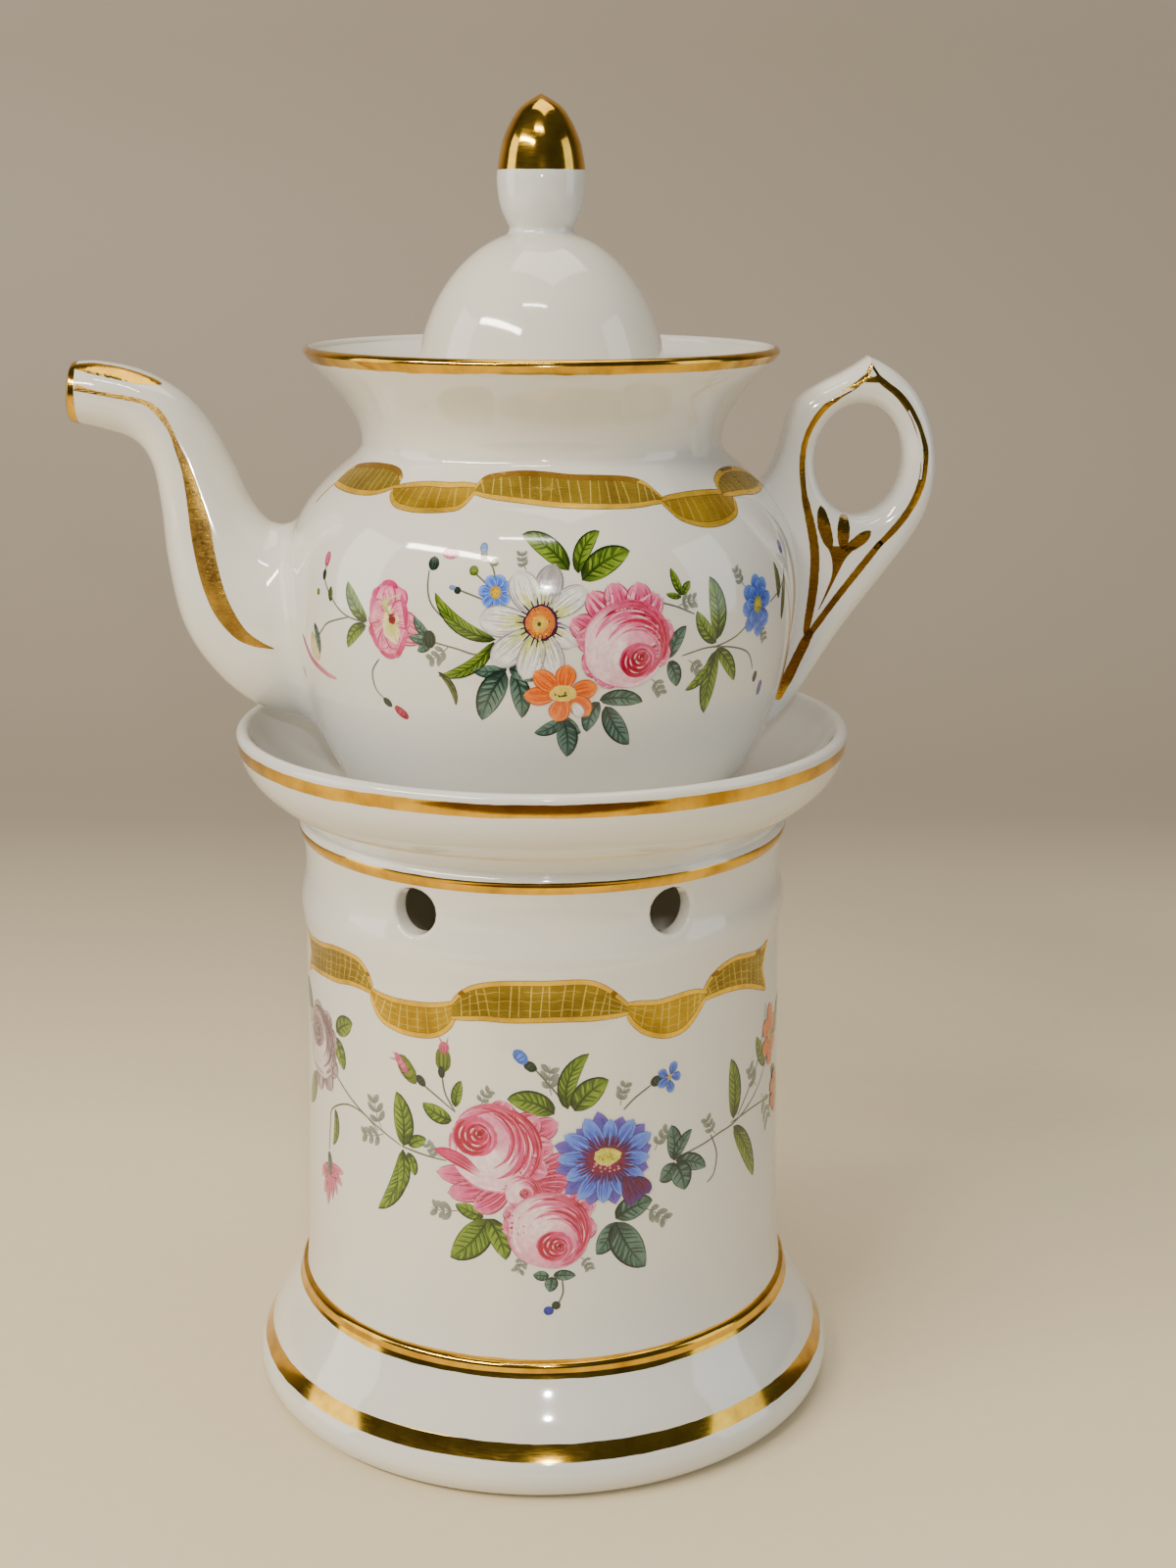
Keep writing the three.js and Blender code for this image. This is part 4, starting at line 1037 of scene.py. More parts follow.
def rose(sheet, centre, size, cup, cupSize, light, dark, deep, crown=(), hue=roseHues):
    # a full cabbage rose, with the bright side, the shaded side and the cup's dark lip as angles
    pale, blush, body, dim, crimson = (hue[k] for k in ("pale", "blush", "body", "deep", "crimson"))
    for angle, reach, width in crown:
        base, tip = (onOval(centre, (size, size), math.radians(angle), share) for share in (0.5, reach))
        petal(sheet, base, tip, size * width, wobble(0.5), (dim, body, blush, crimson), 9, 0.7)
        left = leftOf([base, tip], 0)
        for _ in range(3):
            t = wobble(0.2) * size
            stroke(sheet, [pushed(base, left, t), pushed(between(base, tip, 0.5), left, t * 1.6),
                           pushed(tip, left, t * 0.7)], size * 0.06, pale, blush)
    rows = []
    for out in (i / 7 for i in range(8)):
        row = []
        for a in (2 * math.pi * k / 44 for k in range(44)):
            r = size * (0.95 + 0.025 * math.sin(5 * a + size)) * max(out, 0.02)
            tone = mixed(blush, pale, 0.62 + 0.5 * math.cos(a - math.radians(light)))
            shaded = max(0, math.cos(a - math.radians(dark)))
            tone = mixed(tone, body, max(0, out - 0.45) * (0.5 + 1.5 * shaded))
            row.append((*onOval(centre, (r, r), a), uneven(tone, 0.04)))
        rows.append(row)
    lay(sheet, rows, True)
    for _ in range(30):                               # pale folds that run round the cup
        t = brush.uniform(0.05, 0.85)
        radius = size * 0.93 + (cupSize * 1.2 - size * 0.93) * t
        start = light + brush.gauss(0, 38) - 30
        tone = mixed(blush, pale, 0.45 + brush.random() * 0.6)
        fold = sweep(mixed(centre, cup, t), radius, start, brush.uniform(30, 70))
        stroke(sheet, fold, size * brush.uniform(0.03, 0.08), tone, mixed(tone, pale, 0.5))
    for i, t in enumerate((0.0, 0.16, 0.34, 0.54, 0.72)):     # shaded petals, one inside the other
        middle = mixed(centre, cup, t * 0.95)
        radius = size * 0.95 + (cupSize * 1.3 - size * 0.95) * t
        lean = dark + (-14, 22, -20, 12, -8)[i] + wobble(6)
        thick = size * (0.21 - 0.16 * t)
        stroke(sheet, sweep(middle, radius - thick * 0.5, lean - 88, 172, 20, -0.03), thick, body,
               mixed(body, blush, 0.3 + 0.2 * (i % 2)), 0.8)
        stroke(sheet, sweep(middle, radius - thick * 0.1, lean - 66, 122, 20), thick * 0.6, dim,
               mixed(crimson, dim, brush.random()), 1.0)
        for k in range(3):
            edge = sweep(middle, radius - thick * brush.uniform(0.3, 0.9), lean - 70 + 45 * k,
                         brush.uniform(28, 52), 10, -0.05)
            stroke(sheet, edge, thick * 0.14, pale, blush, 0.7)
    for _ in range(16):                               # drawn edges of the outer petals
        start = dark + brush.gauss(0, 55) - 30
        radius = size * brush.uniform(0.8, 0.99)
        tone = mixed(dim, body, brush.random())
        edge = sweep(centre, radius, start, brush.uniform(30, 75), 12, brush.uniform(-0.05, 0.03))
        stroke(sheet, edge, size * brush.uniform(0.02, 0.05), tone, mixed(tone, blush, 0.5))
    for _ in range(7):                                # a thin broken outline on the bright side
        start = light + brush.uniform(-95, 60)
        edge = sweep(centre, size * brush.uniform(0.93, 0.98), start, brush.uniform(25, 50), 10)
        stroke(sheet, edge, size * 0.035, body, blush)
    disc(sheet, cup, (cupSize * 1.06, cupSize * 0.97), 0, dim, body, 0.03, 3, 30)
    for j in range(4):                                # petals in the cup, each inside the last
        middle = onOval(cup, (cupSize, cupSize), math.radians(deep), -0.10 * j)
        radius, thick = cupSize * (0.97 - 0.22 * j), cupSize * (0.30 - 0.045 * j)
        turn = deep + (0, 24, -22, 16)[j]
        stroke(sheet, sweep(middle, radius - thick * 0.4, turn - 96, 192, 18, -0.06), thick,
               mixed(dim, crimson, 0.5 + 0.15 * j), mixed(dim, crimson, 0.3), 1.0)
        for k in (0, 1):
            edge = sweep(middle, radius - thick * (0.95 + 0.1 * k), turn - 70 + 74 * k, brush.uniform(48, 66),
                         10, 0.06)
            stroke(sheet, edge, cupSize * 0.085, pale, blush, 0.7)
        stroke(sheet, sweep(middle, radius * 0.92, turn + 104 + 20 * (j % 2), 118, 14, -0.14), cupSize * 0.13,
               blush, body, 0.8)
        stroke(sheet, sweep(middle, radius * 0.80, turn + 120, 96, 12, -0.1), cupSize * 0.09,
               dim, crimson, 0.8)
    disc(sheet, onOval(cup, (cupSize, cupSize), math.radians(deep), -0.3),
         (cupSize * 0.17, cupSize * 0.13), 40, crimson, crimson, 0.1, 2, 12)


def daisy(sheet, centre, size, count, hue, backHue, width):
    fan(sheet, centre, roundPlaces(centre, size, count, 10, 0.1), width, backHue, 6, 0.1, 0.25, 0.9)
    inner = (size[0] * 0.93, size[1] * 0.93)
    fan(sheet, centre, roundPlaces(centre, inner, count, 10 + 180 / count, 0.1), width * 0.95, hue, 8, 0.1,
        0.2, 0.8)


def spikes(sheet, centre, inner, outer, count, width, colour, squash):
    for i in range(count):
        a = 2 * math.pi * (i + wobble(0.25)) / count
        reach = outer * brush.uniform(0.8, 1.1)
        pull = [onOval(centre, (1, squash), a, inner + (reach - inner) * j / 3) for j in range(4)]
        stroke(sheet, pull, width, colour, uneven(colour, 0.3))


def freckles(sheet, centre, size, count, dot, colour):
    for _ in range(count):
        spot = onOval(centre, size, brush.uniform(0, 2 * math.pi), brush.random() ** 0.6)
        disc(sheet, spot, (dot, dot * 0.8), brush.uniform(0, 180), colour, uneven(colour, 0.2), 0.15, 1, 8)


def resampled(points, count):
    # places evenly spread over the smooth curve through some points
    curve = through(len(points) * 6, *points)
    spread = measured(curve)
    made, k = [], 0
    for want in (spread[-1] * i / count for i in range(count + 1)):
        while k < len(curve) - 2 and spread[k + 1] < want:
            k += 1
        made.append(mixed(curve[k], curve[k + 1], (want - spread[k]) / max(spread[k + 1] - spread[k], 1e-9)))
    return made


ribbonHues = {"ground": (0.36, 0.25, 0.025), "shade": (0.20, 0.125, 0.015), "lobe": (0.54, 0.33, 0.02),
              "bright": (0.90, 0.56, 0.05), "line": (0.74, 0.56, 0.12), "rim": (0.30, 0.16, 0.02)}


def ribbon(sheet, top, bottom, lobe, pitch, crossLines, fork):
    # fork is the depth of the notch cut in the last end, or in the first if it is below 0
    length = max(math.dist(a, b) for a in top for b in top)
    count = max(12, round(length / 0.8))
    edges, hue = (resampled(bottom, count), resampled(top, count)), ribbonHues

    def at(s, t):
        k = min(int(s * count), count - 1)
        low, high = (between(edge[k], edge[k + 1], s * count - k) for edge in edges)
        nearEnd = max(0.0, (s if fork > 0 else 1 - s) - 0.75) * 4
        x, y = between(low, high, t)
        return (x - fork * nearEnd * (1 - abs(2 * t - 1)), y)

    ground, ripple = (hue["lobe"], 0.1) if lobe else (hue["ground"], 0.3)
    lay(sheet, [[(*at(i / count, k / 14), mixed(
        ground, hue["shade"], ripple * abs(math.sin(i * 0.31)) + brush.uniform(0, 0.14)))
        for k in range(15)] for i in range(count + 1)], room=20)
    hatches = max(4, round(length / pitch))
    for i in range(1, hatches):
        s, lean = (i + wobble(0.12)) / hatches, wobble(0.006)
        stroke(sheet, [at(s + lean * j / 3, 0.02 + 0.08 * j) for j in range(13)], brush.uniform(0.16, 0.26),
               uneven(hue["line"], 0.2), hue["line"], 0.1)
    for t in ((k + 1) / (crossLines + 1) for k in range(crossLines)):
        for part in range(3):
            low = part / 3 + brush.uniform(0.0, 0.08)
            line = [at(low + 0.3 * j / 24, t + 0.018 * math.sin(j * 0.7 + part)) for j in range(25)]
            stroke(sheet, line, 0.11, hue["line"], uneven(hue["line"], 0.2), 0.2)
    wide = 0.85 if crossLines else 0.7
    sheet["layers"] += 10
    for t in (0.0, 1.0):
        line = [at(j / 60, t) for j in range(61)]
        stroke(sheet, line, wide + 0.2, hue["rim"], fullness=0.12)
        sheet["layers"] += 6
        stroke(sheet, line, wide, hue["bright"], fullness=0.15)
    if fork:
        end = 1 if fork > 0 else 0
        stroke(sheet, [at(end, j / 20) for j in range(21)], wide, hue["bright"], fullness=0.1)


def paintMesh(name, verts, faces, normals, paint):
    # thin paint whose faces all look out of the piece
    outward = []
    for face in faces:
        a, b, c, d = (verts[k] for k in face)
        flat = (b - a).cross(c - a) + (c - a).cross(d - a)
        outward.append(face if flat.dot(normals[face[0]]) > 0 else face[::-1])
    mesh = plainMesh(name, verts, outward)
    mesh.normals_split_custom_set_from_vertices([tuple(n) for n in normals])
    layer = mesh.color_attributes.new("paint", "FLOAT_COLOR", "POINT")
    for i, colour in enumerate(paint):
        layer.data[i].color = (*colour, 1)
    return placed(name, mesh)


def wrapped(name, sheet, radiusAt, girth, turn=0):
    # the sheet bent round a turned piece; each stroke lies a hair above the one before
    verts, normals = [], []
    for across, up, layer in sheet["points"]:
        angle = across / girth + math.radians(turn)
        slope = (radiusAt(up + 0.3) - radiusAt(up - 0.3)) / 0.6
        out = 1 / math.hypot(1, slope)
        normal = Vector((math.sin(angle) * out, -math.cos(angle) * out, -slope * out))
        point = Vector((radiusAt(up) * math.sin(angle), -radiusAt(up) * math.cos(angle), up))
        verts.append((point + normal * (0.022 + 0.00011 * layer)) * mm)
        normals.append(normal)
    return paintMesh(name, verts, sheet["faces"], normals, sheet["paint"])


potLeaves = [
    ((4.4, 164.5), (-3.6, 170.0), 3.5, -1.0, "fresh"), ((5.9, 164.0), (10.3, 170.4), 2.8, 1.2, "fresh"),
    ((6.5, 162.9), (15.2, 167.2), 4.2, 0.8, "fresh"), ((23.9, 159.6), (22.2, 164.2), 1.5, 0.1, "fresh"),
    ((23.9, 159.6), (25.8, 161.8), 1.4, 0.1, "fresh"), ((23.8, 159.4), (20.9, 160.1), 1.0, 0.1, "fresh"),
    ((31.2, 151.4), (29.9, 162.2), 3.7, -0.8, "fresh"), ((31.2, 150.9), (26.8, 156.8), 2.6, 0.6, "fresh"),
    ((31.4, 149.8), (37.0, 143.4), 2.6, 0.6, "fresh"), ((31.4, 149.6), (30.7, 138.4), 3.5, -0.6, "fresh"),
    ((30.9, 148.4), (25.5, 143.2), 2.1, 0.8, "fresh"), ((21.6, 149.2), (24.7, 154.5), 2.6, 0.5, "deep"),
    ((21.6, 148.7), (23.6, 144.1), 2.6, 0.4, "deep"), ((-7.5, 153.3), (-17.9, 160.6), 2.6, 1.8, "fresh"),
    ((-7.8, 153.0), (-17.7, 146.6), 2.3, 1.6, "fresh"), ((-17.7, 147.3), (-15.0, 141.5), 1.2, 1.0, "olive"),
    ((-31.1, 154.6), (-36.0, 160.8), 2.8, 0.8, "fresh"), ((-31.4, 153.9), (-36.3, 149.4), 2.3, -0.8, "fresh"),
    ((-5.8, 148.4), (-11.9, 148.2), 2.2, 0.5, "deep"), ((-6.0, 147.9), (-10.5, 139.2), 4.4, -0.6, "deep"),
    ((-4.8, 148.0), (-3.6, 139.8), 3.3, 0.6, "deep"), ((-5.5, 148.4), (-1.5, 146.3), 2.8, 0.4, "deep"),
    ((3.6, 139.9), (-1.5, 137.2), 2.3, 0.6, "deep"), ((3.6, 139.4), (4.3, 132.7), 3.7, 0.4, "deep"),
    ((3.8, 140.1), (6.7, 137.1), 2.3, -0.6, "deep"), ((9.6, 142.8), (17.4, 142.0), 2.9, 0.6, "deep"),
    ((9.6, 142.5), (7.7, 137.2), 2.9, -0.5, "deep"), ((10.7, 141.7), (15.8, 134.4), 3.6, -0.5, "deep"),
    ((49.0, 156.0), (48.5, 162.5), 1.8, -0.5, "olive"), ((51.0, 152.0), (52.5, 160.0), 1.6, 0.4, "olive")]
potStems = [
    ((-31.4, 154.3), (-36.2, 155.0), (-39.3, 156.8), (-42.5, 160.3), (-42.4, 163.2)),
    ((-35.5, 154.8), (-41.2, 153.1), (-43.8, 151.2), (-47.1, 148.6)),
    ((-19.4, 152.6), (-14.3, 151.5), (-10.5, 150.7), (-7.6, 152.8)),
    ((-19.3, 164.1), (-19.2, 160.7), (-18.0, 158.0), (-14.2, 154.9), (-11.4, 153.1)),
    ((-29.1, 148.4), (-31.0, 145.9), (-30.8, 142.9), (-28.9, 141.1)),
    ((-9.8, 166.6), (-8.2, 164.8), (-7.6, 162.2)), ((-11.4, 164.1), (-9.5, 162.6), (-8.1, 161.2)),
    ((-13.9, 161.2), (-11.4, 160.4), (-8.5, 159.4)),
    ((24.1, 149.4), (28.4, 150.2), (31.6, 150.3), (35.7, 151.3), (38.6, 152.9), (40.9, 154.5)),
    ((29.7, 150.3), (35.2, 149.6), (39.9, 147.9), (42.1, 144.7)),
    ((19.7, 158.8), (22.9, 157.8), (26.3, 156.3)), ((45.7, 155.9), (50.6, 158.1), (53.2, 161.3))]
potBuds = [
    ((-15.8, 166.8), (1.5, 0.9), 0, "pink"), ((-18.6, 165.1), (1.0, 1.1), 0, "deepBud"),
    ((-10.0, 167.8), (0.7, 0.9), 0, "paleBlue"), ((-9.9, 166.7), (0.6, 0.7), 0, "deepBud"),
    ((-11.4, 164.3), (0.8, 0.8), 0, "freshBud"), ((-7.9, 165.7), (0.6, 0.6), 0, "freshBud"),
    ((-14.0, 161.1), (0.6, 0.6), 0, "deepBud"), ((-14.9, 161.5), (0.6, 0.4), 0, "paleBlue"),
    ((-28.6, 140.8), (1.0, 0.7), -35, "deepBud"), ((-25.9, 139.3), (1.6, 0.85), -35, "crimson"),
    ((-42.6, 163.7), (0.75, 1.3), 0, "pink"), ((-42.7, 161.1), (0.5, 0.9), 0, "deepBud"),
    ((-44.2, 158.0), (0.4, 0.6), 0, "freshBud"), ((46.2, 140.6), (0.7, 1.4), 0, "violet"),
    ((43.4, 143.1), (0.6, 1.0), 0, "deepBud"), ((53.0, 164.5), (0.7, 1.2), 0, "violet"),
    ((-40.3, 157.9), (0.5, 1.1), 0, "olive")]
potSprigs = [
    ((-2.6, 164.5), (-3.4, 167.6)), ((-15.5, 151.8), (-19.4, 149.0)), ((23.0, 157.8), (27.0, 158.6)),
    ((38.2, 159.6), (36.2, 163.2)), ((25.5, 148.5), (28.6, 145.6)), ((18.5, 146.0), (21.0, 142.8)),
    ((42.5, 152.0), (44.8, 149.2))]

whiteHue = ((0.52, 0.58, 0.16), (0.87, 0.87, 0.84), (0.70, 0.68, 0.68), (0.36, 0.34, 0.36))
greyHue = ((0.40, 0.40, 0.26), (0.56, 0.53, 0.53), (0.44, 0.41, 0.42), (0.26, 0.24, 0.27))
orangeHue = ((0.60, 0.18, 0.03), (0.84, 0.27, 0.05), (0.88, 0.40, 0.11), (0.56, 0.12, 0.02))
blueHue = ((0.10, 0.13, 0.42), (0.14, 0.24, 0.66), (0.32, 0.46, 0.80), (0.05, 0.07, 0.38))
skyHue = ((0.10, 0.18, 0.62), (0.18, 0.33, 0.80), (0.40, 0.55, 0.88), (0.05, 0.10, 0.48))
daisyHue = ((0.16, 0.03, 0.20), (0.16, 0.25, 0.72), (0.32, 0.46, 0.86), (0.09, 0.03, 0.28))
daisyBack = ((0.16, 0.02, 0.12), (0.14, 0.12, 0.50), (0.30, 0.22, 0.58), (0.12, 0.02, 0.18))
pinkHue = ((0.60, 0.12, 0.24), (0.74, 0.30, 0.42), (0.82, 0.48, 0.56), (0.50, 0.06, 0.16))
bellHue = ((0.46, 0.05, 0.14), (0.74, 0.24, 0.38), (0.84, 0.46, 0.55), (0.42, 0.04, 0.12))
eyeYellow, eyeOrange = (0.76, 0.62, 0.14), (0.78, 0.36, 0.07)


def paintGreenery(sprigs, stems, leaves, buds, look):
    # a sheet with all that lies under the flowers
    sheet = newSheet()
    for base, tip in sprigs:
        sheet["layers"] = 0
        sprig(sheet, base, tip)
    sheet["layers"] = 20
    for points in stems:
        stroke(sheet, through(look["cuts"], *points), look["stem"], stemGrey,
               mixed(stemGrey, (0.4, 0.4, 0.34), 0.4), 0.15)
    for i, (base, tip, width, bow, kind) in enumerate(leaves):
        sheet["layers"] = 40 + 50 * (i % 4)
        leaf(sheet, base, tip, width * look["leaf"], bow, kind)
    sheet["layers"] = 240
    for (x, y), size, turn, kind in buds:
        if kind in budHues:
            bud(sheet, (x, y), size, turn, kind)
        else:
            leaf(sheet, (x, y - size[1]), (x, y + size[1] * 1.4), 1.1, 0.1, kind)
    return sheet


def paintPotBouquet():
    sheet = paintGreenery(potSprigs, potStems, potLeaves, potBuds, {"cuts": 16, "stem": 0.3, "leaf": 1})

    sheet["layers"] = 260
    sky = (-7.6, 161.0)
    fan(sheet, sky, roundPlaces(sky, (2.9, 3.0), 7, 20), 1.9, skyHue, 5)
    disc(sheet, sky, (0.95, 1.05), 0, eyeYellow, (0.55, 0.36, 0.04), 0.05)
    freckles(sheet, sky, (0.7, 0.7), 7, 0.12, (0.30, 0.18, 0.03))

    # a trumpet flower seen from the side
    sheet["layers"] = 260
    petal(sheet, (-19.4, 152.9), (-25.8, 155.4), 6.0, 0.2, pinkHue, 8)
    fan(sheet, (-26.4, 155.3), roundPlaces((-26.7, 155.3), (3.9, 6.6), 7, 64, 0.1), 4.9,
        ((0.74, 0.66, 0.34), (0.86, 0.52, 0.60), (0.70, 0.17, 0.36), (0.56, 0.06, 0.18)), 10, 0.1, 0.3, 0.5)
    disc(sheet, (-25.9, 154.4), (1.7, 3.0), 4, (0.60, 0.60, 0.20), (0.84, 0.78, 0.52), 0.12)
    for i in range(9):
        stroke(sheet, [(-25.7, 155.2), (-26.4 - 0.2 * i, 156.6 + 0.2 * i),
                       (-28.6 + 0.55 * i, 158.6 + 0.15 * i)], 0.3, (0.42, 0.50, 0.12), (0.72, 0.72, 0.40))
    for i in range(5):
        stroke(sheet, [(-25.7, 155.3), (-25.9 - 0.1 * i, 155.8 + 0.1 * i), (-26.6 + 0.35 * i, 156.3)], 0.36,
               (0.30, 0.015, 0.05))
    disc(sheet, (-25.8, 155.4), (0.7, 0.75), 0, (0.24, 0.01, 0.03), (0.36, 0.03, 0.07), 0.15)
    for start in (-70, -10, 60, 120, 185, 240):
        stroke(sheet, arc(7, (-26.7, 155.3), (3.6, 6.2), start, start + 56), 0.95, (0.56, 0.05, 0.18),
               (0.72, 0.20, 0.38))
    for tip in ((-21.6, 156.4), (-21.2, 150.6), (-22.6, 153.0)):
        leaf(sheet, (-18.7, 152.6), tip, 1.7, 0.2, "deep")
    bud(sheet, (-18.9, 152.8), (1.2, 1.5), 0, "deepBud")
    # a bell hanging at the left
    sheet["layers"] = 260
    petal(sheet, (-47.3, 150.6), (-47.0, 145.4), 3.0, 0.2,
          ((0.5, 0.5, 0.2), (0.72, 0.66, 0.40), (0.8, 0.6, 0.5), (0.4, 0.3, 0.1)), 4)
    stroke(sheet, through(12, (-52.0, 149.5), (-49.5, 145.6), (-44.5, 143.6), (-41.0, 143.2)), 1.1,
           (0.46, 0.05, 0.14), (0.74, 0.36, 0.44))
    leaf(sheet, (-45.9, 152.4), (-45.4, 147.0), 1.6, 0.3, "deep")

    # the big white flower
    sheet["layers"] = 430
    eye = (-0.3, 156.2)
    for tip, width, hue in (((2.2, 165.6), 4.8, greyHue), ((7.4, 161.6), 4.4, whiteHue),
                            ((-4.0, 164.6), 5.4, whiteHue), ((5.2, 152.2), 4.0, whiteHue),
                            ((-10.4, 156.8), 5.6, whiteHue), ((-8.4, 149.2), 5.2, whiteHue),
                            ((2.3, 146.9), 4.0, whiteHue), ((-3.2, 146.6), 4.6, whiteHue)):
        petal(sheet, between(eye, tip, 0.12), tip, width, 0.25, hue, 9, 0.72)
        for _ in range(8):
            aside = wobble(0.18) * math.dist(eye, tip)
            end = pushed(between(eye, tip, brush.uniform(0.45, 0.74)), leftOf([eye, tip], 0), aside)
            stroke(sheet, [between(eye, end, j / 4) for j in range(1, 5)], 0.34, (0.48, 0.54, 0.10),
                   (0.78, 0.80, 0.46))
    spikes(sheet, eye, 1.9, 3.9, 22, 0.26, (0.11, 0.03, 0.12), 1.05)
    disc(sheet, eye, (2.75, 3.0), 0, (0.16, 0.05, 0.16), (0.13, 0.03, 0.13), 0.08, 2, 30)
    disc(sheet, eye, (2.35, 2.65), 0, eyeOrange, (0.66, 0.26, 0.06), 0.05, 3, 24)
    disc(sheet, (-0.4, 156.0), (1.3, 1.5), 0, eyeYellow, (0.78, 0.46, 0.10), 0.08)
    freckles(sheet, eye, (2.0, 2.3), 16, 0.16, (0.80, 0.60, 0.16))
    disc(sheet, (-0.5, 156.0), (0.35, 0.4), 0, (0.10, 0.12, 0.02), (0.25, 0.24, 0.05), 0.1, 2, 12)

    rose(sheet, (13.9, 152.1), 7.7, (15.9, 149.4), 3.1, 195, 55, 225,
         ((152, 1.34, 0.62), (128, 1.42, 0.6), (104, 1.38, 0.6), (78, 1.36, 0.62), (55, 1.28, 0.56),
          (172, 1.12, 0.6), (205, 1.08, 0.66), (240, 1.06, 0.6), (20, 1.1, 0.6), (-20, 1.06, 0.6)))

    centre = (3.5, 144.0)
    for tip, width in (((-3.2, 144.0), 3.0), ((-1.3, 148.2), 3.2), ((4.3, 149.2), 3.2), ((9.2, 145.0), 3.2),
                       ((8.0, 140.3), 3.4), ((2.0, 139.4), 3.4)):
        petal(sheet, between(centre, tip, 0.15), tip, width * 1.15, 0.2, orangeHue, 7, 0.85)
    disc(sheet, (3.4, 144.2), (2.3, 1.45), 0, eyeYellow, (0.80, 0.66, 0.24), 0.06, 3, 22)
    freckles(sheet, (3.0, 144.0), (1.2, 0.5), 9, 0.2, (0.07, 0.10, 0.03))
    petal(sheet, (5.0, 142.6), (6.6, 140.0), 2.0, 0.1, whiteHue, 4)

    sheet["layers"] = 260
    blue = (41.6, 156.1)
    for share, width in ((1.0, 2.7), (0.72, 2.1)):
        fan(sheet, blue, roundPlaces(blue, (4.3 * share, 5.6 * share), 8, 12 + 40 * share), width, blueHue, 6)
    disc(sheet, blue, (1.2, 1.5), 0, eyeYellow, (0.34, 0.38, 0.10), 0.06)
    freckles(sheet, blue, (0.9, 1.1), 8, 0.16, (0.12, 0.14, 0.03))
    return sheet


standLeaves = [
    ((1.9, 69.6), (-6.4, 72.2), 3.8, -0.9, "fresh"), ((4.2, 70.4), (8.0, 80.5), 3.0, 1.8, "fresh"),
    ((5.4, 70.0), (11.5, 75.3), 4.2, 0.8, "fresh"), ((-15.7, 69.9), (-14.6, 74.9), 1.8, 0.3, "fresh"),
    ((-16.4, 67.3), (-22.1, 69.7), 2.8, 0.4, "fresh"), ((-26.3, 60.6), (-27.8, 70.6), 3.8, -0.8, "fresh"),
    ((-26.4, 60.0), (-32.3, 47.0), 3.1, 1.8, "fresh"), ((-26.6, 59.7), (-27.4, 51.3), 2.4, 0.8, "fresh"),
    ((-25.1, 60.9), (-21.4, 62.9), 2.1, 0.3, "fresh"), ((-25.4, 59.6), (-23.9, 55.5), 1.9, 0.3, "fresh"),
    ((-9.8, 49.7), (-16.8, 41.4), 5.0, 0.8, "fresh"), ((-9.8, 49.7), (-6.7, 42.1), 3.4, 0.6, "fresh"),
    ((-10.6, 49.9), (-15.8, 51.7), 2.4, 0.1, "fresh"), ((12.7, 48.6), (9.2, 42.8), 3.4, 0.4, "deep"),
    ((12.7, 49.2), (19.8, 51.5), 4.0, 0.6, "deep"), ((12.7, 48.6), (18.4, 39.1), 5.2, -0.6, "deep"),
    ((24.3, 58.0), (23.6, 64.9), 2.9, -0.4, "deep"), ((24.3, 58.0), (28.2, 63.1), 2.1, 0.5, "deep"),
    ((24.6, 57.9), (31.5, 54.9), 2.9, 0.5, "deep"), ((24.6, 57.4), (26.5, 51.9), 3.9, 0.4, "deep"),
    ((24.3, 57.7), (21.2, 54.8), 3.0, 0.4, "deep"), ((39.1, 61.8), (38.3, 73.6), 3.4, -0.9, "fresh"),
    ((39.2, 60.4), (46.1, 48.1), 3.4, 0.8, "fresh"), ((0.9, 39.3), (-1.9, 39.5), 1.7, 0.1, "deep"),
    ((1.6, 39.3), (5.6, 39.1), 1.8, 0.1, "deep"), ((1.4, 39.1), (0.9, 36.2), 2.1, 0.1, "deep"),
    ((-45.3, 62.1), (-46.3, 54.6), 1.7, 0.9, "fresh"), ((-44.4, 77.2), (-38.9, 80.5), 3.4, 0.4, "fresh"),
    ((-45.0, 76.0), (-42.0, 70.6), 3.0, 0.4, "fresh"), ((-55.0, 66.0), (-60.5, 58.0), 3.4, 0.6, "fresh"),
    ((-57.0, 76.0), (-63.0, 82.0), 3.4, -0.5, "deep"), ((52.0, 68.0), (47.5, 75.0), 2.6, 0.5, "fresh"),
    ((56.0, 66.0), (62.0, 58.0), 3.2, 0.6, "deep"), ((57.0, 72.0), (63.5, 78.5), 3.2, -0.4, "fresh")]
standStems = [
    ((-48.5, 72.0), (-44.9, 69.0), (-40.0, 66.1), (-35.0, 63.8), (-26.7, 60.5)),
    ((-48.0, 53.0), (-47.4, 58.6), (-46.5, 61.7), (-41.0, 64.4), (-35.8, 64.1), (-32.1, 61.9)),
    ((-26.7, 60.5), (-21.8, 59.9), (-17.5, 59.6)), ((-23.6, 74.0), (-19.8, 71.7), (-15.7, 68.9)),
    ((-18.2, 75.2), (-17.6, 72.1), (-15.7, 68.9)), ((-1.3, 77.7), (1.4, 74.5), (4.4, 70.6)),
    ((19.4, 73.2), (16.3, 71.3), (14.2, 69.4)),
    ((24.6, 58.5), (30.5, 59.4), (35.0, 60.4), (40.1, 61.2), (47.6, 64.5), (53.0, 69.6)),
    ((38.3, 61.3), (46.4, 61.7), (56.5, 60.5)), ((32.7, 60.8), (34.3, 56.9), (33.6, 53.2), (31.8, 51.8)),
    ((3.2, 38.4), (3.3, 35.9), (2.4, 33.7)), ((40.4, 62.0), (47.0, 68.6), (50.5, 74.5), (52.0, 80.0))]
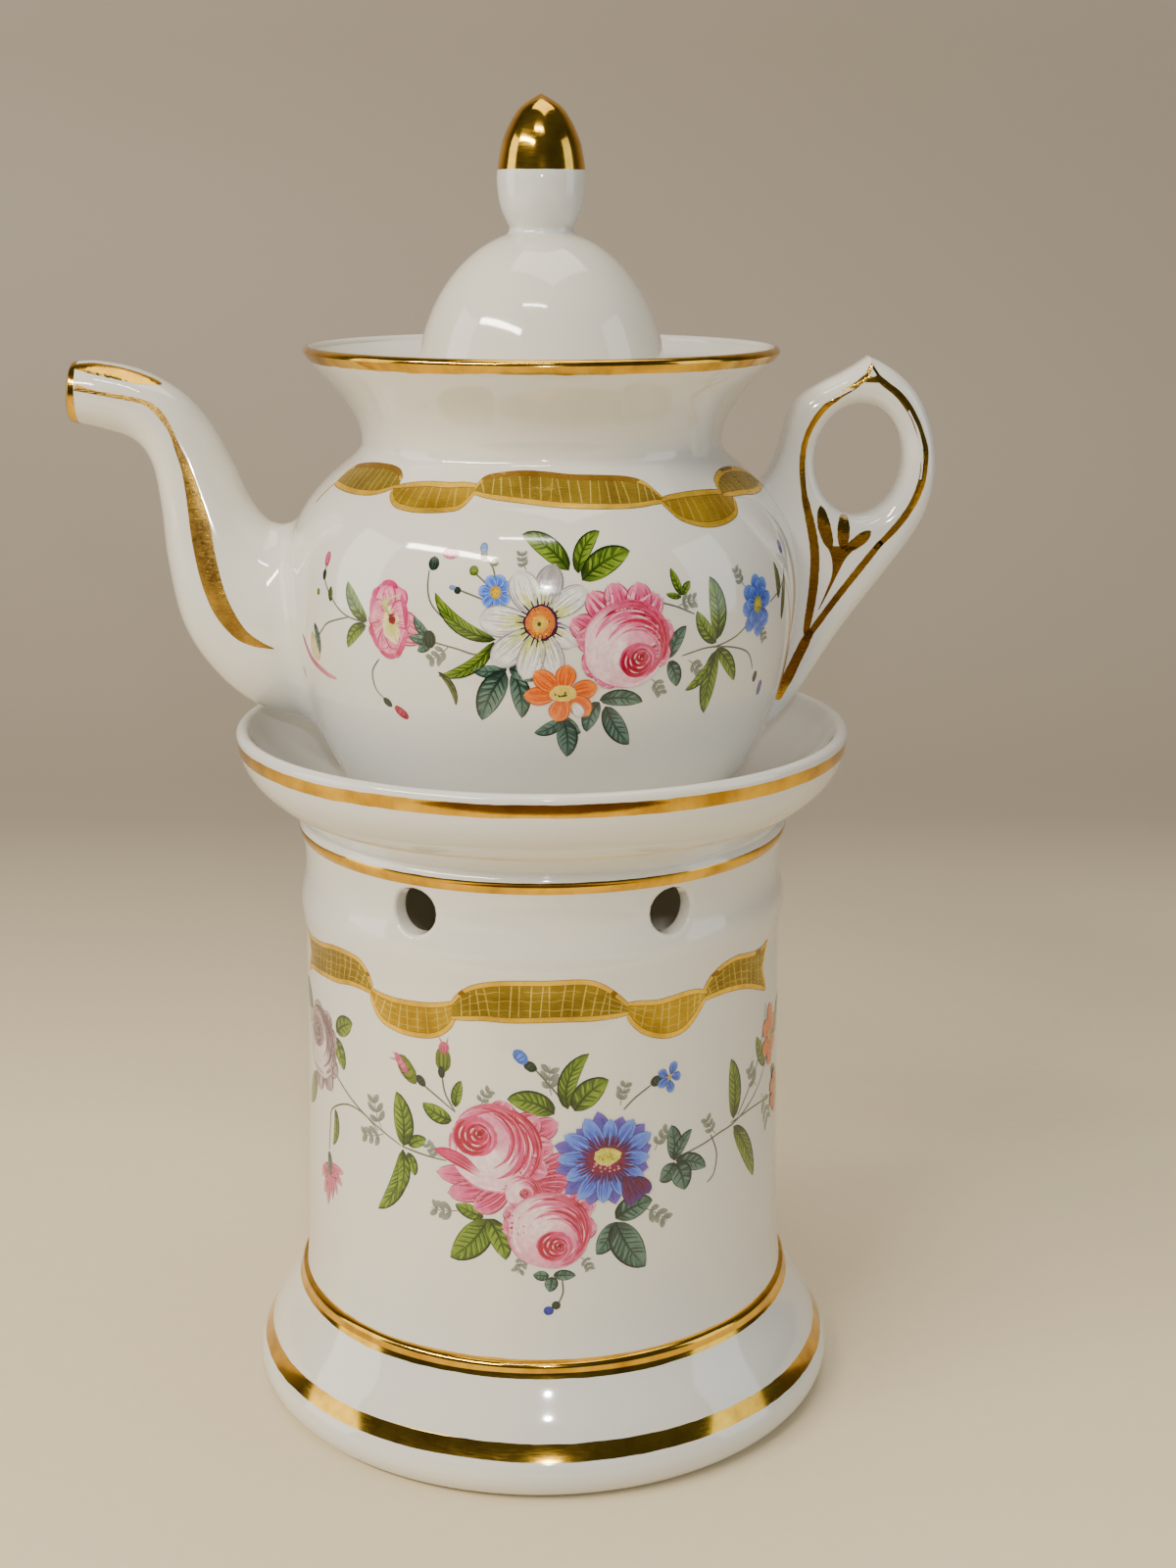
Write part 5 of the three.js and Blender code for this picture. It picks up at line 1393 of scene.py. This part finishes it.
standBuds = [
    ((-25.4, 75.3), (3.0, 1.6), -52, "freshBud"), ((-26.6, 76.2), (2.2, 0.8), -52, "pink"),
    ((-22.4, 73.7), (1.2, 0.8), -50, "deepBud"), ((-18.0, 78.4), (1.5, 2.3), 0, "freshBud"),
    ((-17.8, 80.6), (1.0, 1.1), 0, "pink"), ((-18.3, 76.0), (0.7, 1.1), 0, "deepBud"),
    ((-2.3, 78.4), (1.3, 0.9), -35, "deepBud"), ((-4.0, 80.1), (1.6, 1.1), -50, "blue"),
    ((20.5, 73.8), (1.2, 1.0), 20, "deepBud"), ((2.1, 33.6), (0.8, 0.8), 0, "deepBud"),
    ((0.8, 32.6), (0.9, 0.85), 0, "blueDark")]
standSprigs = [
    ((1.4, 73.0), (1.2, 78.6)), ((13.6, 70.2), (15.0, 74.6)), ((-11.0, 70.4), (-9.2, 74.0)),
    ((-31.2, 62.4), (-33.4, 68.6)), ((-30.8, 61.8), (-36.6, 60.0)), ((-15.2, 50.6), (-20.6, 50.2)),
    ((-4.0, 43.6), (-4.6, 39.6)), ((6.4, 42.6), (8.2, 39.8)), ((20.2, 60.8), (23.2, 64.6)),
    ((18.0, 50.4), (22.8, 46.8)), ((34.0, 60.6), (31.6, 64.6)), ((-18.4, 60.0), (-21.6, 62.4)),
    ((47.4, 65.4), (44.6, 70.4)), ((50.0, 63.0), (54.0, 55.5))]


def paintStandBouquet():
    sheet = paintGreenery(standSprigs, standStems, standLeaves, standBuds,
                          {"cuts": 18, "stem": 0.34, "leaf": 1.12})
    for tip in ((-28.6, 78.0), (-29.4, 76.6), (-17.0, 82.6), (-18.8, 82.6)):
        base = (-26.8, 76.6) if tip[0] < -22 else (-17.9, 80.2)
        x, y = between(base, tip, 0.5)
        stroke(sheet, [base, (x + 0.2, y), tip], 0.3, (0.52, 0.10, 0.2), (0.7, 0.4, 0.42))
    fan(sheet, (23.2, 74.0), roundPlaces((23.2, 74.0), (2.4, 2.9), 5, 70), 1.7, blueHue, 5)
    disc(sheet, (23.2, 74.0), (0.45, 0.45), 0, eyeYellow, (0.5, 0.4, 0.1), 0.05, 2, 12)

    sheet["layers"] = 1300
    daisy(sheet, (11.1, 60.6), (9.2, 8.8), 12, daisyHue, daisyBack, 3.6)
    spikes(sheet, (11.1, 60.6), 2.0, 5.6, 46, 0.4, (0.20, 0.02, 0.12), 0.92)
    for i in range(3):                                # maroon petals under the flower, at the right
        petal(sheet, (14.0 + i, 57.4 - i * 0.4), (15.6 + 1.7 * i, 51.2 + 0.9 * i), 2.6, 0.3,
              ((0.16, 0.015, 0.08), (0.25, 0.04, 0.15), (0.16, 0.10, 0.36), (0.10, 0.01, 0.06)), 6)
    disc(sheet, (11.1, 60.5), (3.5, 2.8), -4, (0.36, 0.05, 0.15), (0.28, 0.03, 0.12), 0.12, 2, 26)
    freckles(sheet, (11.1, 59.4), (2.9, 1.2), 26, 0.2, (0.72, 0.42, 0.44))
    disc(sheet, (11.2, 61.2), (2.5, 1.6), -4, (0.62, 0.60, 0.10), (0.74, 0.66, 0.20), 0.08, 3, 24)
    spikes(sheet, (11.2, 61.2), 1.2, 2.5, 22, 0.22, (0.80, 0.72, 0.24), 0.62)
    freckles(sheet, (11.2, 61.1), (1.7, 0.8), 14, 0.15, (0.26, 0.28, 0.04))

    # outer petals of the upper rose, then the two roses
    sheet["layers"] = 260
    looseHue = tuple(roseHues[k] for k in ("deep", "body", "blush", "crimson"))
    edgeHue = tuple(roseHues[k] for k in ("pale", "body", "deep", "crimson"))
    for base, tip, width in (((-6.0, 58.6), (-19.6, 57.2), 4.2), ((-6.0, 57.0), (-17.4, 53.6), 4.4),
                             ((-6.0, 56.0), (-12.4, 51.4), 4.8), ((-2.0, 58.0), (5.6, 61.2), 4.4),
                             ((-2.0, 57.0), (6.8, 57.6), 4.2), ((-1.0, 56.0), (6.0, 54.4), 4.0),
                             ((-3.6, 58.0), (-3.4, 50.2), 5.4), ((-4.0, 64.0), (2.6, 68.0), 4.6)):
        petal(sheet, base, tip, width, 0.4, looseHue, 10, 0.7)
    rose(sheet, (-8.6, 62.9), 8.5, (-12.2, 64.9), 3.9, -120, 28, 212,
         ((5, 1.22, 0.6), (40, 1.16, 0.62), (75, 1.07, 0.6), (-25, 1.2, 0.56)))
    petal(sheet, (-11.0, 57.4), (-19.9, 61.4), 2.6, -0.9, edgeHue, 8, 0.8)
    rose(sheet, (-3.6, 55.0), 3.3, (-3.2, 54.8), 1.0, 180, 30, 200)
    rose(sheet, (0.9, 47.8), 7.5, (1.9, 44.9), 3.0, 130, 35, 185,
         ((35, 1.26, 0.6), (62, 1.2, 0.62), (5, 1.12, 0.6), (150, 1.16, 0.6), (175, 1.1, 0.6)))

    # sprays that run on round the sides: a mauve rose at the left, orange flowers at the right
    sheet["layers"] = 260
    rose(sheet, (-51.8, 73.0), 7.2, (-53.4, 74.6), 3.1, -70, 40, 205,
         ((-60, 1.32, 0.62), (-95, 1.36, 0.62), (-30, 1.2, 0.6), (20, 1.1, 0.6), (60, 1.12, 0.6),
          (100, 1.1, 0.6), (150, 1.14, 0.6)), mauveRose)
    fan(sheet, (-48.0, 50.6), [(-51.4, 46.4), (-50.4, 43.4), (-48.6, 41.8), (-46.6, 43.6), (-44.6, 45.4),
                               (-42.8, 47.8), (-42.4, 50.4)], 1.7, bellHue, 5, 0.05, 0.3, 1.0)
    spikes(sheet, (-47.8, 48.0), 0.6, 3.4, 7, 0.24, (0.48, 0.06, 0.16), 0.9)
    leaf(sheet, (-48.0, 52.8), (-47.6, 48.0), 1.6, 0.2, "deep")
    for centre, size in (((54.2, 73.0), (4.2, 6.0)), ((58.5, 60.5), (3.4, 4.4))):
        fan(sheet, centre, roundPlaces(centre, size, 6, 30), size[0] * 0.8, orangeHue)
        disc(sheet, centre, (1.1, 1.2), 0, eyeYellow, (0.60, 0.42, 0.08), 0.06)
        freckles(sheet, centre, (0.8, 0.8), 6, 0.15, (0.10, 0.10, 0.03))
    return sheet


potRibbons = [
    ([(-56.6, 175.1), (-56.3, 177.3), (-49.9, 178.3), (-41.7, 178.6), (-36.4, 178.2), (-33.4, 177.0)],
     [(-56.8, 175.0), (-55.0, 174.8), (-47.5, 174.5), (-41.8, 174.5), (-37.4, 174.9), (-32.9, 176.2)], False),
    ([(-33.7, 175.9), (-30.2, 176.4), (-25.2, 176.8), (-20.3, 176.8), (-17.0, 177.0), (-14.0, 176.9)],
     [(-33.7, 175.4), (-33.2, 174.8), (-30.6, 173.5), (-26.8, 173.0), (-22.8, 173.0), (-18.6, 173.3),
      (-15.9, 173.9), (-13.8, 176.3)], True),
    ([(-14.3, 176.5), (-12.9, 178.0), (-9.2, 178.6), (-4.0, 178.9), (1.2, 178.7), (6.4, 178.3), (12.9, 178.1),
      (18.9, 177.8), (22.6, 177.1), (24.2, 175.8), (25.4, 174.4)],
     [(-13.9, 175.9), (-11.2, 175.5), (-7.6, 175.2), (-3.5, 174.9), (1.1, 174.5), (5.5, 174.2), (11.2, 174.0),
      (16.4, 173.9), (20.2, 174.0), (22.9, 174.2), (25.3, 174.2)], False),
    ([(24.8, 174.4), (26.7, 174.7), (31.5, 174.9), (36.5, 174.9), (41.8, 174.6), (44.8, 173.8)],
     [(24.5, 174.1), (25.4, 173.1), (27.0, 171.6), (30.4, 170.5), (33.8, 170.1), (38.1, 170.4), (42.2, 171.4),
      (44.6, 173.4)], True),
    ([(41.7, 174.5), (43.6, 176.2), (49.8, 177.3), (58.0, 177.1), (65.4, 175.8), (67.4, 174.1)],
     [(42.0, 174.1), (46.5, 174.0), (50.3, 173.9), (54.7, 173.6), (60.3, 173.6), (67.2, 173.9)], False)]
potTails = [[(-56.6, 175.0), (-58.0, 172.8), (-58.4, 171.3)], [(67.2, 174.0), (69.6, 172.4), (70.2, 170.6)]]
standRibbons = [
    ([(-59.5, 92.6), (-56.6, 91.9), (-49.4, 92.5), (-44.4, 93.4), (-39.6, 93.6), (-36.2, 93.1), (-34.4, 91.2),
      (-33.2, 88.8)],
     [(-59.2, 84.6), (-56.9, 86.0), (-49.8, 86.8), (-43.7, 87.3), (-39.8, 88.0), (-36.4, 88.1), (-34.5, 87.9),
      (-33.2, 87.7)], False),
    ([(-33.5, 88.4), (-31.2, 87.9), (-27.9, 87.6), (-24.1, 87.7), (-20.6, 88.0), (-17.8, 88.5),
      (-15.9, 89.1)],
     [(-33.5, 87.4), (-32.7, 85.4), (-30.7, 83.2), (-26.8, 82.2), (-23.1, 82.1), (-19.7, 82.6), (-17.1, 84.2),
      (-15.7, 86.4)], True),
    ([(-16.2, 89.0), (-14.3, 91.1), (-11.5, 92.6), (-7.4, 93.4), (-3.5, 93.6), (0.0, 93.6), (3.4, 93.7),
      (6.4, 93.7), (8.9, 93.2), (11.4, 91.8), (13.5, 90.0), (15.1, 88.5)],
     [(-16.3, 86.3), (-13.6, 86.5), (-10.5, 86.8), (-6.5, 86.7), (-2.5, 86.8), (1.4, 86.9), (4.9, 86.9),
      (8.4, 86.8), (11.4, 86.9), (13.5, 87.0), (15.1, 87.2)], False),
    ([(15.0, 88.8), (17.2, 88.7), (20.6, 88.3), (23.5, 88.5), (26.5, 88.8), (29.1, 88.7), (31.5, 88.1)],
     [(15.0, 86.7), (15.9, 85.2), (17.6, 83.6), (20.1, 82.4), (23.0, 81.8), (26.1, 82.3), (28.6, 84.2),
      (30.9, 86.9)], True),
    ([(30.8, 88.5), (32.6, 90.5), (35.5, 92.0), (39.2, 92.5), (43.2, 91.9), (48.2, 91.4), (51.6, 92.3)],
     [(30.9, 86.9), (33.4, 87.1), (37.1, 87.1), (40.8, 86.6), (44.4, 85.7), (48.4, 84.2),
      (51.4, 82.9)], False)]


def paintRibbons(stretches, pitch, crossLines, tails=(), fork=0.0):
    # fork is the depth of the notches in the two far ends
    sheet = newSheet()
    cuts = [-fork] + [0.0] * (len(stretches) - 2) + [fork]
    for cut, (top, bottom, lobe) in zip(cuts, stretches):
        ribbon(sheet, top, bottom, lobe, pitch, crossLines, cut)
    for points in tails:
        stroke(sheet, through(10, *points), 0.5, ribbonHues["bright"], ribbonHues["lobe"], 0.3)
    return sheet


def enamelMaterial():
    # painted colour under the glaze's gloss, with a soft grain where the pigment pooled
    material, tree, shader, place = newMaterial("flowerEnamel")
    paint = addNode(tree, "Attribute", {}, attribute_name="paint")
    grain, pool = noiseNode(tree, place, 1100, 4, 0.6), noiseNode(tree, place, 260, 2)
    level = mathNode(tree, "MULTIPLY_ADD", pool, 0.2, mathNode(tree, "MULTIPLY_ADD", grain, 0.5, 0.65))
    scaled = addNode(tree, "VectorMath", {0: paint["Color"], "Scale": level}, operation="SCALE")
    fill(tree, shader, {"Base Color": addNode(tree, "Gamma", {"Color": scaled[0], "Gamma": 1.5})[0],
                        "Roughness": mathNode(tree, "MULTIPLY_ADD", grain, 0.12, 0.08),
                        "Coat Weight": 0.3, "Coat Roughness": 0.05})
    bumped(tree, shader, grain, 0.3, 0.00003)
    return material


def ribbonGoldMaterial():
    # matt gold: the paint's own colour under the gilding's patches
    material, tree, shader, place = newMaterial("ribbonGold")
    surface = addNode(tree, "Group", {"Place": place, "Bright": (1.0, 1.0, 1.0), "Dull": (0.62, 0.58, 0.50)},
                      node_tree=giltGroup)
    paint = addNode(tree, "Attribute", {}, attribute_name="paint")
    blend = addNode(tree, "VectorMath", {0: paint["Color"], 1: surface["Color"]}, operation="MULTIPLY")
    fill(tree, shader, {"Base Color": blend[0], "Metallic": 0.55, "Specular IOR Level": 0.15,
                        "Roughness": mathNode(tree, "ADD", surface["Roughness"], 0.16)})
    bumped(tree, shader, surface["Height"], 0.4, 0.00004)
    return material


def giltLineMaterial(name, bright, dull, grain, depth):
    # gilt laid on with a brush; grain roughens it where the gold sits thin over the glaze
    material, tree, shader, place = newMaterial(name)
    surface = addNode(tree, "Group", {"Place": place, "Bright": bright, "Dull": dull}, node_tree=giltGroup)
    crumbs = noiseNode(tree, place, 1500, 4, 0.7)
    fill(tree, shader, {"Base Color": surface["Color"], "Metallic": 1,
                        "Roughness": mathNode(tree, "MULTIPLY_ADD", crumbs, grain, surface["Roughness"])})
    bumped(tree, shader, mathNode(tree, "ADD", surface["Height"], crumbs), 0.4, depth)
    return material


enamel = enamelMaterial()
ribbonGold = ribbonGoldMaterial()
lineGilt = giltLineMaterial("lineGilt", goldTones["Bright"], goldTones["Dull"], 0.02, 0.00003)
# the spout stripe's gold is darker than the lines' gold: partly thin rough gold over the glaze, partly a
# painted dark reflection
stripeGiltThinWithPaintedReflection = giltLineMaterial("stripeGiltThinWithPaintedReflection", (0.55, 0.33, 0.06), (0.16, 0.09, 0.025), 0.36, 0.00016)

# Gilding on the spout and the handle, as (out, up) places seen from the side
spoutStripe = (
    [(-82.4, 190.1), (-78.7, 189.5), (-74.9, 188.8), (-71.2, 188.1), (-69.1, 187.1), (-67.3, 185.2),
     (-65.7, 182.8), (-64.7, 179.6), (-63.7, 176.2), (-63.0, 171.4), (-62.5, 166.1), (-61.7, 160.9),
     (-60.4, 155.6), (-58.3, 150.8), (-55.0, 147.1), (-51.7, 145.7), (-47.9, 145.3)],
    [(-82.0, 191.3), (-78.7, 190.2), (-74.9, 189.6), (-71.2, 188.9), (-68.5, 187.9), (-66.7, 186.2),
     (-65.2, 183.6), (-63.7, 180.2), (-62.0, 176.7), (-60.5, 172.5), (-59.0, 167.2), (-58.1, 161.9),
     (-57.0, 157.1), (-55.5, 152.9), (-52.9, 148.7), (-50.1, 146.6), (-47.8, 145.5)])
handleStrokes = [
    ([(58.45, 193.6), (60.7, 191.6), (63.5, 189.4), (65.8, 186.4), (67.3, 183.2), (68.4, 179.9),
      (68.4, 177.2), (68.0, 173.9), (66.5, 170.0), (63.9, 166.2), (60.0, 162.0)], 1.35, 0.12),
    ([(61.2, 163.4), (56.9, 157.8), (52.7, 152.2), (47.8, 145.2)], 1.25, 0.06),
    ([(48.9, 147.2), (46.6, 142.2), (44.7, 138.0), (42.9, 134.3)], 1.9, 0.16),
    ([(58.45, 193.6), (55.8, 191.3), (53.2, 189.6), (50.5, 187.5), (48.4, 184.8), (47.0, 181.5),
      (46.5, 177.7), (46.8, 173.3), (47.6, 169.0)], 1.05, 0.08),
    ([(46.8, 172.4), (48.5, 165.6), (49.2, 161.2), (49.2, 156.7), (48.8, 152.2), (47.9, 146.4)], 1.65, 0.22),
    ([(52.1, 161.9), (50.8, 166.0), (50.0, 169.8)], 2.3, 0.55), ([(54.3, 162.0), (54.3, 168.4)], 2.3, 0.4),
    ([(54.6, 161.7), (57.0, 163.4), (59.2, 165.3)], 2.1, 0.5)]
handleFields = [
    ([(51.4, 162.6), (52.3, 160.2), (52.4, 157.3), (51.4, 154.2), (50.1, 150.9)],
     [(56.9, 162.5), (54.9, 160.4), (53.5, 157.6), (52.0, 154.4), (50.3, 151.0)]),
    ([(58.2, 194.9), (57.4, 193.4), (56.2, 191.8)], [(58.6, 194.9), (59.6, 193.4), (60.8, 191.6)])]
spoutTop = [([(-83.0, 2.6), (-79.5, 3.1), (-75.0, 3.4), (-71.0, 3.4), (-67.4, 2.4)], 2.7, 0.4)]


def landed(name, obj, strips, fromTop=False):
    # strips of flat places dropped onto a piece, from both of its sides
    tree = BVHTree.FromObject(obj, bpy.context.evaluated_depsgraph_get())
    verts, faces, normals = [], [], []
    for side in (-1, 1):
        for rows in strips:
            faces += gridFaces(len(rows), len(rows[0]), len(verts))
            for x, w in (spot for row in rows for spot in row):
                origin, way, reach = Vector((x, side * 60, w)), Vector((0, -side, 0)), 54
                if fromTop:
                    origin, way, reach = Vector((x, side * w, 260)), Vector((0, 0, -1)), 70
                hit, normal, _, _ = tree.ray_cast(origin * mm, way)
                if hit is None:
                    hit, normal, _, _ = tree.find_nearest((origin + way * reach) * mm)
                verts.append(hit + normal * 0.03 * mm)
                normals.append(normal)
    return paintMesh(name, verts, faces, normals, [(0.8, 0.6, 0.2)] * len(verts))


def filled(lowEdge, highEdge, count):
    # a strip six places wide between two edges
    return [[between(a, b, k / 5) for k in range(6)]
            for a, b in zip(resampled(lowEdge, count), resampled(highEdge, count))]


def penLine(points, width, fullness):
    count = max(6, round(measured(points)[-1] / 0.45))
    line = resampled(points, count) if len(points) > 2 else bowed(*points, 0.01, count)
    rows = []
    for i, point in enumerate(line):
        s = i / count
        half = width / 2 * max(4 * s * (1 - s), 0.01) ** fullness * (1 + wobble(0.06))
        rows.append([pushed(point, leftOf(line, i), half * k / 2) for k in range(-2, 3)])
    return rows


print("painting")
wraps = {"pot": (heightOn(lifted(potOutline(), levels["potSeat"])), 46.0),
         "stand": (heightOn(wallOutline()), 45.0)}
bouquet, ribbons = paintPotBouquet(), paintRibbons(potRibbons, 2.0, 0, potTails)
for label, turn in (("front", 0), ("back", 180)):
    flowerPiece = wrapped("pot_bouquet_" + label, bouquet, *wraps["pot"], turn)
    finished(flowerPiece, "pot", [], enamel)
    ribbonPiece = wrapped("pot_ribbon_" + label, ribbons, *wraps["pot"], turn)
    finished(ribbonPiece, "pot", [], ribbonGold)
bouquet, ribbons = paintStandBouquet(), paintRibbons(standRibbons, 1.7, 3, fork=2.2)
finished(wrapped("stand_bouquet", bouquet, *wraps["stand"]), "stand", [], enamel)
finished(wrapped("stand_ribbon", ribbons, *wraps["stand"]), "stand", [], ribbonGold)

spoutStrip = landed("spout_stripe_gilt", spoutObject, [filled(*spoutStripe, 110)])
finished(spoutStrip, "pot", [], stripeGiltThinWithPaintedReflection)
spoutCap = landed("spout_top_gilt", spoutObject, [penLine(*one) for one in spoutTop], True)
finished(spoutCap, "pot", [], lineGilt)
rimFaces = gridFaces(spout["sides"], len(spoutRim) // spout["sides"], closed=True)
finished(newObject("spout_mouth_gilt", spoutRim, rimFaces), "pot", [], lineGilt)
handleStrips = [penLine(*one) for one in handleStrokes] + [filled(*one, 26) for one in handleFields]
finished(landed("handle_lines_gilt", handleObject, handleStrips), "pot", [], lineGilt)


# Room, in metres

room = {"floor": (0.77, 0.665, 0.45), "back": (0.34, 0.29, 0.225), "far": (0.43, 0.38, 0.305), "front": -1.6,
        "depth": 0.75, "width": 3.0, "height": 1.8, "curve": 0.3, "backFrom": 0.1, "backTo": 0.4,
        "fadeFrom": 0.80, "fadeTo": 1.08}


def staged(name, verts, faces, material):
    obj = placed(name, plainMesh(name, verts, faces))
    obj.data.materials.append(material)
    return obj


def roomMaterial():
    material, tree, shader, place = newMaterial("roomPaint")
    level = addNode(tree, "MapRange", {"Value": addNode(tree, "SeparateXYZ", {0: place})["Y"],
                                       "From Min": room["backFrom"], "From Max": room["backTo"]})
    paint = mixColour(tree, level[0], room["floor"], room["back"])
    grain = mathNode(tree, "MULTIPLY", noiseNode(tree, place, 300, 4), 0.12)
    fill(tree, shader, {"Base Color": mixColour(tree, grain, paint, (0.35, 0.31, 0.26)), "Roughness": 0.55})
    # beyond the lamps' reach the camera sees the sheet run out into the plain tone past its edges
    away = addNode(tree, "VectorMath", {0: place}, operation="LENGTH")
    fade = addNode(tree, "MapRange", {"Value": away["Value"], "From Min": room["fadeFrom"],
                                      "From Max": room["fadeTo"]}, interpolation_type="SMOOTHSTEP")
    seen = mathNode(tree, "MULTIPLY", fade[0], addNode(tree, "LightPath", {})["Is Camera Ray"])
    blend = addNode(tree, "MixShader", {"Fac": seen, 1: tree.nodes["Principled BSDF"].outputs[0],
                                        2: addNode(tree, "Emission", {"Color": room["far"]})[0]})
    fill(tree, tree.nodes["Material Output"].inputs, {"Surface": blend[0]})
    return material


def makeRoom():
    # a pale sheet that lies flat under the stand and curves up behind it
    curve, flatEnd = room["curve"], room["depth"] - room["curve"]
    profile = [(room["front"], 0), (flatEnd, 0)]
    profile += [(flatEnd + curve * math.sin(a), curve - curve * math.cos(a))
                for a in (math.radians(7.5 * i) for i in range(1, 13))]
    profile.append((room["depth"], room["height"]))
    verts = [(x, y, z) for y, z in profile for x in (-room["width"], room["width"])]
    staged("room_sheet", verts, gridFaces(len(profile), 2), roomMaterial())


def makeFlag():
    # a dark brown cloth under the camera, seen only in the gilding and the glaze
    material, tree, shader, place = newMaterial("flagCloth")
    weave = mixColour(tree, noiseNode(tree, place, 900), (0.034, 0.012, 0.007), (0.085, 0.034, 0.02))
    fill(tree, shader, {"Base Color": weave, "Roughness": 0.9})
    verts = [(x, y, 0.004 + 0.002 * math.sin(x * 60) * math.cos(y * 40))
             for y in (-1.0 + 0.095 * k for k in range(9)) for x in (-0.24 + 0.04 * i for i in range(13))]
    obj = staged("flag_cloth", verts, gridFaces(9, 13), material)
    obj.visible_camera = False
    obj.visible_shadow = False
    obj.visible_diffuse = False


# each lamp's place, aim, size, power and colour
lamps = {
    "key": ((-0.8, -0.75, 1.0), (0, 0, 0.12), (1.0, 0.09), 21, (1.0, 0.91, 0.76)),
    "strip": ((-0.1, -0.6, 1.0), (0, 0, 0.12), (0.36, 0.03), 1.8, (1.0, 0.96, 0.90)),
    "left": ((-1.1, -0.05, 0.4), (0, 0, 0.12), (0.5, 0.9), 3.6, (0.96, 0.95, 0.95)),
    "right": ((1.1, -0.2, 0.4), (0, 0, 0.12), (0.5, 0.9), 2.6, (0.84, 0.92, 1.0)),
    "overhead": ((0.1, 0.15, 1.5), (0, 0, 0.1), (1.0, 1.0), 10, (1.0, 0.92, 0.79)),
    "spark": ((0.012, -0.43, 0.27), (0, 0, 0.13), (0.014, 0.014), 0.5, (1.0, 1.0, 1.0))}


def makeLight():
    for name, (place, aim, size, power, colour) in lamps.items():
        light = bpy.data.lights.new(name, "AREA")
        light.shape = "RECTANGLE"
        light.size, light.size_y = size
        light.energy = power
        light.color = colour
        obj = placed(name, light)
        obj.location = place
        obj.rotation_euler = (Vector(aim) - Vector(place)).to_track_quat("-Z", "Y").to_euler()
    world = bpy.data.worlds.new("roomAir")
    world.use_nodes = True
    tree, air = world.node_tree, world.node_tree.nodes["Background"]
    fill(tree, air.inputs, {"Color": (0.50, 0.56, 0.66), "Strength": 0.13})
    # past the room's edges the camera sees a plain pale tone
    rays, plain = addNode(tree, "LightPath", {}), addNode(tree, "Background", {"Color": room["far"]})
    blend = addNode(tree, "MixShader", {"Fac": rays["Is Camera Ray"], 1: air.outputs[0], 2: plain[0]})
    fill(tree, tree.nodes["World Output"].inputs, {"Surface": blend[0]})
    bpy.context.scene.world = world


view = {"place": (0.0, -0.4, 0.22092), "pitch": 14.559, "yaw": 1.213, "roll": 0.174, "focal": 2250.0,
        "frameHeight": 1600.0, "sensor": 36.0, "nearest": 0.01}


def makeCamera():
    data = bpy.data.cameras.new("photoView")
    data.sensor_fit = "VERTICAL"
    data.sensor_height = view["sensor"]
    data.lens = view["focal"] / view["frameHeight"] * view["sensor"]
    data.clip_start = view["nearest"]
    camera = placed("photoView", data)
    pitch, yaw, roll = (math.radians(view[k]) for k in ("pitch", "yaw", "roll"))
    forward = Vector((math.sin(yaw) * math.cos(pitch), math.cos(yaw) * math.cos(pitch), -math.sin(pitch)))
    right = forward.cross(Vector((0, 0, 1))).normalized()
    up = right.cross(forward)
    turnedRight = right * math.cos(roll) + up * math.sin(roll)
    turnedUp = up * math.cos(roll) - right * math.sin(roll)
    matrix = Matrix((turnedRight, turnedUp, -forward)).transposed().to_4x4()
    matrix.translation = Vector(view["place"])
    camera.matrix_world = matrix
    bpy.context.scene.camera = camera


print("room, light and camera")
makeRoom()
makeFlag()
makeLight()
makeCamera()
